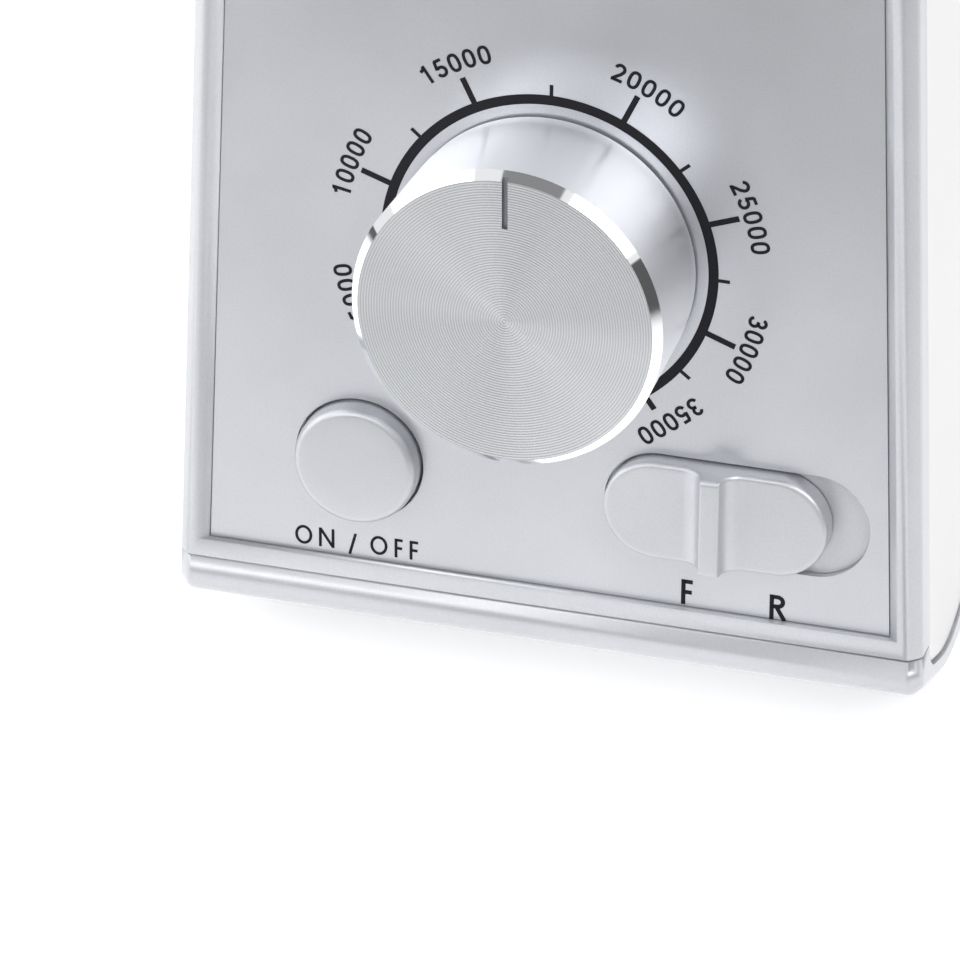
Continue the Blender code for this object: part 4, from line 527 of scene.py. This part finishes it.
def smooth_cad_shape(name):
    """A piece with the CAD node's own shape, welded so that its rounded edges shade as curves."""
    node = frame["nodes"][name]
    bm = bmesh.new()
    bm.from_mesh(node.data)
    bmesh.ops.remove_doubles(bm, verts=bm.verts, dist=WELD)
    smooth = to_object(f"smooth_{name}", bm, node.matrix_world, SLOT_MATERIALS[SLOT_OF[name]])
    weighted = smooth.modifiers.new("even_flats", "WEIGHTED_NORMAL")
    weighted.keep_sharp = True
    part(smooth, BODY_OF[name], SLOT_OF[name], name)


# Speed knob


def make_knob():
    roof = KNOB_HEIGHT - KNOB_FACE_THICKNESS
    inner = KNOB_LOW_RADIUS - KNOB_WALL
    face = []
    for share in KNOB_FACE_SHARES:
        face.append((KNOB_FACE_RADIUS * share, KNOB_HEIGHT - KNOB_DISH * (1.0 - share * share)))
    side = [
        (KNOB_CHAMFER_RADIUS, KNOB_CHAMFER_HEIGHT),
        (KNOB_LOW_RADIUS, KNOB_STEP_HEIGHT + KNOB_SOFT_EDGE),
        (KNOB_LOW_RADIUS - KNOB_SOFT_EDGE, KNOB_STEP_HEIGHT),
        (KNOB_SKIRT_RADIUS, KNOB_STEP_HEIGHT),
        (KNOB_SKIRT_RADIUS, KNOB_LOW),
        (inner, KNOB_LOW),
        (inner, roof),
    ]
    profile = face + [(KNOB_FACE_RADIUS, KNOB_HEIGHT)] + side + [(0.0, roof)]
    spun, bright, satin, dark = range(4)
    zones = [spun] * len(face) + [bright] + [satin] * len(side)
    materials = [MATERIALS[name] for name in ("spun_face_shaded", "bright_chamfer", "satin_flank", "shaded_groove")]
    knob = to_object("turned_knob", turned(profile, KNOB_FACETS, zones), PANEL, *materials)
    outline = rectangle(POINTER_WIDTH, POINTER_INNER, KNOB_CHAMFER_RADIUS + OVERRUN)
    shaded_groove = prism(outline, KNOB_HEIGHT - POINTER_DEPTH, KNOB_HEIGHT + OVERRUN)
    # The groove's walls take the darkened metal: painted shade in the cut
    for groove_face in shaded_groove.faces:
        groove_face.material_index = dark
    subtract(knob, shaded_groove, PANEL)
    part(knob, "speed_knob_body", "spun_aluminium", "speed_knob")


# Power button


def make_button():
    flange_front = -(PLATE_THICKNESS + GAP + FRONT_WALL + GAP)
    flange_back = flange_front - BUTTON_FLANGE_THICKNESS
    roof = BUTTON_HEIGHT - BUTTON_CAP_WALL
    inner = BUTTON_RADIUS - BUTTON_CAP_WALL
    profile = [(0.0, BUTTON_HEIGHT), (BUTTON_RADIUS * BUTTON_FLAT_SHARE, BUTTON_HEIGHT)]
    profile += fillet(BUTTON_RADIUS - BUTTON_DRAFT, BUTTON_HEIGHT, BUTTON_ROUND, BUTTON_ROUND_STEPS)
    profile += [
        (BUTTON_RADIUS, BUTTON_HEIGHT - BUTTON_SHOULDER),
        (BUTTON_RADIUS, flange_front),
        (BUTTON_RADIUS + BUTTON_FLANGE, flange_front),
        (BUTTON_RADIUS + BUTTON_FLANGE, flange_back),
        (inner, flange_back),
        (inner, roof),
        (BUTTON_STEM_RADIUS, roof),
        (BUTTON_STEM_RADIUS, -BUTTON_STEM_DEPTH),
        (0.0, -BUTTON_STEM_DEPTH),
    ]
    place = PANEL @ Matrix.Translation((BUTTON_U, BUTTON_V, 0.0))
    button = to_object("push_button", turned(profile, BUTTON_FACETS), place, MATERIALS["silver_paint"])
    part(button, "power_button_body", "silver_paint", "power_button")


# Direction slider


def saddle_height(x):
    """Height of the slider's top at a distance along it: flat lobe, round scoop, soft ridge."""
    half = RIDGE_WIDTH / 2.0
    scoop = RIDGE_HEIGHT - LOBE_HEIGHT
    distance = abs(x)
    if distance >= half + scoop:
        return LOBE_HEIGHT
    if distance > half:
        arm = half + scoop - distance
        height = RIDGE_HEIGHT - math.sqrt(max(scoop * scoop - arm * arm, 0.0))
        return min(height, RIDGE_HEIGHT - RIDGE_ROUND * SCOOP_START_SHARE)
    if distance > half - RIDGE_ROUND:
        arm = distance - (half - RIDGE_ROUND)
        return RIDGE_HEIGHT - RIDGE_ROUND + math.sqrt(max(RIDGE_ROUND * RIDGE_ROUND - arm * arm, 0.0))
    return RIDGE_HEIGHT


def edge_drop(inset):
    """How far the slider's rounded top edge has fallen at a distance in from its wall."""
    if inset >= SLIDE_ROUND:
        return 0.0
    return SLIDE_ROUND - math.sqrt(SLIDE_ROUND * SLIDE_ROUND - (SLIDE_ROUND - inset) ** 2)


def slider_stations(straight):
    """Places along the slider, from one end of its straight part to the other."""
    half = RIDGE_WIDTH / 2.0
    lobe = half + RIDGE_HEIGHT - LOBE_HEIGHT
    stations = [half * share for share in RIDGE_FLAT_SHARES]
    stations += [half - RIDGE_ROUND * share for share in RIDGE_ROUND_SHARES]
    stations += [half + (lobe - half) * (1.0 - math.cos(turn)) for turn in quarter_turn(SCOOP_STEPS)[1:]]
    stations += [lobe + (straight - lobe) * share for share in LOBE_SHARES]
    return [-x for x in reversed(stations[1:])] + stations


def slider_section(x, radius, insets, bottom):
    """Points across the slider, from the foot of one wall over the top to the other."""
    top = saddle_height(x)
    levels = [(radius - inset, top - edge_drop(inset)) for inset in insets]
    near = [(x, -reach, height) for reach, height in levels]
    far = [(x, reach, height) for reach, height in reversed(levels)]
    return [(x, -radius, bottom), *near, (x, 0.0, top), *far, (x, radius, bottom)]


def add_round_end(bm, side, straight, middle, radius, insets, bottom):
    """A fan of rows around a vertex in the middle of the slider's end."""
    rows = [[middle]]
    levels = [(radius - inset, LOBE_HEIGHT - edge_drop(inset)) for inset in reversed(insets)]
    for reach, height in levels + [(radius, bottom)]:
        row = []
        for k in range(SLIDE_END_STEPS + 1):
            turn = -math.pi / 2.0 + math.pi * k / SLIDE_END_STEPS
            x = side * straight + side * reach * math.cos(turn)
            row.append(bm.verts.new((x, reach * math.sin(turn), height)))
        rows.append(row)
    for low, high in zip(rows, rows[1:]):
        bridge(bm, low, high, closed=False)
    bm.faces.new(rows[-1])


def make_slider():
    """A cap with a rounded top edge all round: a grid along the ridge and a fan at each round end."""
    silver = MATERIALS["silver_paint"]
    bottom = -PLATE_THICKNESS
    half_length = SLIDE_HALF_LENGTH - SLIDE_TRAVEL / 2.0 - RUNNING_GAP
    radius = SLIDE_RADIUS - RUNNING_GAP
    straight = half_length - radius
    insets = [SLIDE_ROUND * (1.0 - math.cos(turn)) for turn in quarter_turn(SLIDE_ROUND_STEPS)]
    insets += SLIDE_INSETS
    bm = bmesh.new()
    grid = []
    for x in slider_stations(straight):
        grid.append([bm.verts.new(point) for point in slider_section(x, radius, insets, bottom)])
    for left, right in zip(grid, grid[1:]):
        bridge(bm, left, right)
    for side, edge in ((-1.0, grid[0]), (1.0, grid[-1])):
        add_round_end(bm, side, straight, edge[len(edge) // 2], radius, insets, bottom)
    bmesh.ops.remove_doubles(bm, verts=bm.verts, dist=WELD)
    place = PANEL @ Matrix.Translation((SLIDE_U - SLIDE_TRAVEL / 2.0, SLIDE_V, 0.0))
    cap = to_object("slider_cap", bm, place, silver)
    part(cap, "direction_slider_body", "silver_paint", "direction_slider")
    stem = prism(rectangle(STEM_LENGTH, -STEM_WIDTH / 2.0, STEM_WIDTH / 2.0), -STEM_DEPTH, bottom)
    part(to_object("slider_stem", stem, place, silver), "direction_slider_body", "silver_paint")


# Faceplate and its print


def make_faceplate():
    taper = math.tan(SIDE_TAPER)
    half, drop, rise = RECESS_HALF - PLATE_GAP, RECESS_DROP - PLATE_GAP, RECESS_RISE - PLATE_GAP
    low_half, high_half = half + drop * taper, half - rise * taper
    outline = [(-low_half, -drop), (low_half, -drop), (high_half, rise), (-high_half, rise)]
    mesh = prism(outline, -PLATE_THICKNESS, 0.0)
    plate = to_object("printed_faceplate", mesh, PANEL, MATERIALS["silver_grain"])
    holes = (
        circle(BUSH_HOLE_RADIUS, BUSH_HOLE_FACETS),
        circle(BUTTON_RADIUS + RUNNING_GAP, HOLE_FACETS, (BUTTON_U, BUTTON_V)),
        stadium(SLIDE_HALF_LENGTH, SLIDE_RADIUS, HOLE_FACETS, (SLIDE_U, SLIDE_V)),
    )
    for hole in holes:
        subtract(plate, prism(hole, -PLATE_THICKNESS - OVERRUN, OVERRUN), PANEL)
    bevel = plate.modifiers.new("soft_edges", "BEVEL")
    bevel.width = PLATE_BEVEL
    bevel.segments = 2
    bevel.limit_method = "ANGLE"
    bevel.angle_limit = PLATE_BEVEL_ANGLE
    part(plate, "housing", "silver_grain", "faceplate")


def print_piece(name, bm, place=PANEL):
    part(to_object(name, bm, place, INK), "housing", "silver_grain")


def clockwise(degrees):
    """A turn on the panel, clockwise from the top."""
    return Matrix.Rotation(-math.radians(degrees), 4, "Z")


def make_ring():
    bm = bmesh.new()
    corners = ((RING_INNER, 0.0), (RING_OUTER, 0.0), (RING_OUTER, INK_HEIGHT), (RING_INNER, INK_HEIGHT))
    rings = []
    for k in range(RING_STEPS + 1):
        turn = clockwise(RING_HALF_SWEEP * (2.0 * k / RING_STEPS - 1.0))
        rings.append([bm.verts.new(turn @ Vector((0.0, radius, z))) for radius, z in corners])
    loft(bm, rings)
    print_piece("dial_ring", bm)


def make_tick(name, degrees, outer, width):
    outline = rectangle(width, RING_OUTER - TICK_OVERLAP, outer)
    print_piece(name, prism(outline, 0.0, INK_HEIGHT * TICK_HEIGHT_SHARE), PANEL @ clockwise(degrees))


def arc(x, y, half, rise, start, end):
    """Points of an oval arc, from one angle to another in degrees."""
    turns = [math.radians(start + (end - start) * k / ARC_STEPS) for k in range(ARC_STEPS + 1)]
    return [(x + half * math.cos(t), y + rise * math.sin(t)) for t in turns]


def oval(half, rise, squareness):
    """Points of a closed oval, squarer than an ellipse when the squareness is over 2."""
    points = []
    for x, y in circle(1.0, OVAL_STEPS):
        across = math.copysign(abs(x) ** (2.0 / squareness), x)
        along = math.copysign(abs(y) ** (2.0 / squareness), y)
        points.append((half * across, 0.5 + rise * along))
    return points + points[:1]


def glyph_lines(letter, half, edge):
    """Centre lines of a letter's strokes, for a height of 1 and strokes twice the edge wide."""
    stem = [(-half, 0.0), (-half, 1.0)]
    top = 1.0 - edge
    if letter == "0":
        return [oval(half, 0.5 - edge, DIGIT_SQUARENESS)]
    if letter == "O":
        return [oval(half, 0.5 - edge, LETTER_SQUARENESS)]
    if letter == "1":
        return [[(0.06, 0.0), (0.06, 1.0)], [(0.06, 0.94), (-0.03, 0.82), (-0.20, 0.74)]]
    if letter == "2":
        hook = arc(0.0, top - 0.225, half - 0.01, 0.225, 170.0, -20.0)
        slant = [(0.11, 0.44), (-0.07, 0.27), (-0.18, 0.15), (-half + 0.02, 0.04)]
        return [hook + slant, [(-half - 0.06, edge), (half + 0.04, edge)]]
    if letter == "3":
        upper = arc(-0.01, top - 0.205, 0.205, 0.205, 165.0, -75.0)
        lower = arc(0.0, edge + 0.225, half, 0.225, 95.0, -165.0)
        return [upper + [(-0.06, 0.525)], lower]
    if letter == "5":
        bowl = arc(0.0, edge + 0.235, half, 0.235, 135.0, -162.0)
        return [[(-0.17, top), (half - 0.01, top)], [(-0.13, top), (-0.20, 0.46)], bowl]
    if letter == "N":
        return [stem, [(half, 0.0), (half, 1.0)], [(-half, 0.97), (half, 0.03)]]
    if letter == "F":
        return [stem, [(-half, top), (half + edge, top)], [(-half, 0.50), (half + edge * 0.6, 0.50)]]
    if letter == "R":
        bowl = arc(0.0, 0.73, half - 0.01, 0.27 - edge, 90.0, -90.0)
        return [stem, [(-half, top)] + bowl + [(-half, 0.46 + edge)], [(-0.02, 0.50), (half + 0.06, 0.0)]]
    return [[(-half, -0.12), (half, 1.0)]]


def add_ribbon(bm, line, width):
    """A flat raised stroke along a line of points, with mitred corners."""
    closed = line[0] == line[-1]
    points = [Vector(point) for point in (line[:-1] if closed else line)]
    count = len(points)
    rings = []
    for k, point in enumerate(points):
        before = points[k - 1] if closed or k else point
        after = points[(k + 1) % count] if closed or k < count - 1 else point
        ahead = (after - before).normalized()
        side = Vector((-ahead.y, ahead.x))
        if before != point and after != point:
            across = Vector((before.y - point.y, point.x - before.x)).normalized()
            side /= max(side.dot(across), LEAST_MITRE)
        reach = side * (width / 2.0)
        near, far = point - reach, point + reach
        corners = ((near, 0.0), (far, 0.0), (far, INK_HEIGHT), (near, INK_HEIGHT))
        rings.append([bm.verts.new((*corner, z)) for corner, z in corners])
    loft(bm, rings, closed)


def add_glyph(bm, letter, half, height, stroke, place):
    """A letter's strokes, its middle at the place's x = 0 and its foot at y = 0."""
    for line in glyph_lines(letter, half, stroke / 2.0):
        corners = [place @ Vector((x * height, y * height, 0.0)) for x, y in line]
        add_ribbon(bm, [(corner.x, corner.y) for corner in corners], stroke * height)


def make_number(digits, degrees, baseline, bend):
    """Digits set one by one along an arc, tops outwards."""
    bm = bmesh.new()
    foot = clockwise(degrees) @ Matrix.Translation((0.0, baseline - bend, 0.0))
    for k, digit in enumerate(digits):
        turn = (k - (len(digits) - 1) / 2.0) * DIGIT_PITCH / bend
        place = foot @ Matrix.Rotation(-turn, 4, "Z") @ Matrix.Translation((0.0, bend, 0.0))
        add_glyph(bm, digit, DIGIT_HALF_SHARE, DIGIT_HEIGHT, DIGIT_STROKE_SHARE, place)
    print_piece(f"number_{digits}", bm)


def make_letter(name, letter, u, v, half, height, stroke):
    bm = bmesh.new()
    place = Matrix.Translation((u, v - height / 2.0, 0.0))
    add_glyph(bm, letter, half - stroke / 2.0, height, stroke, place)
    print_piece(name, bm)


def make_print():
    make_ring()
    for degrees, outer, number, past in MAJOR_TICKS:
        make_tick(f"major_tick_{number}", degrees, outer, MAJOR_WIDTH)
        baseline, bend = NUMBER_BASELINE, NUMBER_BASELINE
        if number == LAST_NUMBER:
            baseline, bend = LAST_BASELINE, LAST_BEND
        make_number(number, degrees + past, baseline, bend)
    for k, degrees in enumerate(MINOR_TICKS):
        make_tick(f"minor_tick_{k + 1}", degrees, RING_OUTER + MINOR_TICK, MINOR_WIDTH)
    for k, row in enumerate(LETTERS):
        make_letter(f"letter_{k + 1}", *row)


# Studio


def floor_material():
    material = bpy.data.materials.new("pale_floor")
    material.use_nodes = True
    tree = material.node_tree
    shader = tree.nodes["Principled BSDF"]
    shader.inputs["Base Color"].default_value = FLOOR_COLOUR
    shader.inputs["Roughness"].default_value = FLOOR_ROUGHNESS
    shader.inputs["Emission Color"].default_value = FLOOR_GLOW_COLOUR
    ray = add_node(tree, "ShaderNodeLightPath")
    place = add_node(tree, "ShaderNodeTexCoord").outputs["Object"]
    from_pool = measure(tree, "DISTANCE", place, POOL_MIDDLE)
    pool = map_range(tree, from_pool, POOL_START, POOL_REACH, POOL_NEAR, POOL_FAR, smooth=True)
    from_object = measure(tree, "LENGTH", place)
    pale = map_range(tree, from_object, PALE_START, PALE_END, PALE_NEAR, PALE_FAR, smooth=True)
    seen = combine(tree, "MULTIPLY", ray.outputs["Is Camera Ray"], pale)
    mirrored = combine(tree, "MULTIPLY", ray.outputs["Is Glossy Ray"], pool)
    feed(tree, shader.inputs["Emission Strength"], combine(tree, "ADD", seen, mirrored))
    return material


def make_floor():
    bm = bmesh.new()
    outline = rectangle(2.0 * FLOOR_HALF, -FLOOR_HALF, FLOOR_HALF)
    bm.faces.new([bm.verts.new((x, y, FLOOR_LEVEL)) for x, y in outline])
    floor = to_object("floor", bm, Matrix.Identity(4), floor_material())


def heading(azimuth, elevation):
    """A direction from the object: azimuth to the right of straight ahead of its front, both in degrees."""
    turn, rise = math.radians(azimuth), math.radians(elevation)
    return Vector((math.sin(turn) * math.cos(rise), -math.cos(turn) * math.cos(rise), math.sin(rise)))


def dark_card(tree, direction, azimuth, elevation, inner, outer, kept):
    """How much light a direction of the room keeps: all of it far from the card, less in front of it."""
    towards = measure(tree, "DOT_PRODUCT", direction, heading(azimuth, elevation))
    low, high = math.cos(math.radians(outer)), math.cos(math.radians(inner))
    return map_range(tree, towards, low, high, 1.0, kept, smooth=True)


def make_world():
    """White behind the object and in its mirror, softer as a lamp, with a few dark cards around the room."""
    world = bpy.data.worlds.new("studio")
    bpy.context.scene.world = world
    world.use_nodes = True
    tree = world.node_tree
    direction = add_node(tree, "ShaderNodeTexCoord").outputs["Generated"]
    ray = add_node(tree, "ShaderNodeLightPath")
    light = map_range(tree, ray.outputs["Is Glossy Ray"], 0.0, 1.0, ROOM_LIGHT, ROOM_MIRRORED)
    for card in DARK_CARDS:
        light = combine(tree, "MULTIPLY", light, dark_card(tree, direction, *card))
    background = tree.nodes["Background"]
    feed(tree, background.inputs["Color"], combine(tree, "MAXIMUM", light, ray.outputs["Is Camera Ray"]))
    background.inputs["Strength"].default_value = 1.0


def make_light(name, azimuth, elevation, distance, size, power):
    """A lamp that faces the dial from a direction and a distance."""
    lamp = bpy.data.lights.new(name, "AREA")
    lamp.shape = "RECTANGLE"
    lamp.size, lamp.size_y = size
    lamp.energy = power
    obj = bpy.data.objects.new(name, lamp)
    bpy.context.collection.objects.link(obj)
    away = heading(azimuth, elevation)
    obj.location = DIAL + away * distance
    obj.rotation_euler = away.to_track_quat("Z", "Y").to_euler()


def make_camera():
    camera = bpy.data.cameras.new("camera")
    camera.lens = CAMERA_LENS
    camera.sensor_width = CAMERA_SENSOR
    camera.clip_end = CAMERA_REACH
    obj = bpy.data.objects.new("camera", camera)
    bpy.context.collection.objects.link(obj)
    obj.location = CAMERA_PLACE
    obj.rotation_euler = [math.radians(angle) for angle in CAMERA_TURN]
    bpy.context.scene.camera = obj


def main():
    make_camera()
    dress_cad_nodes()
    for name in SMOOTH_SHAPES:
        smooth_cad_shape(name)
    make_knob()
    make_button()
    make_slider()
    make_faceplate()
    make_print()
    make_floor()
    make_world()
    for lamp in LAMPS:
        make_light(*lamp)
    bpy.context.scene.view_settings.view_transform = "Standard"


main()
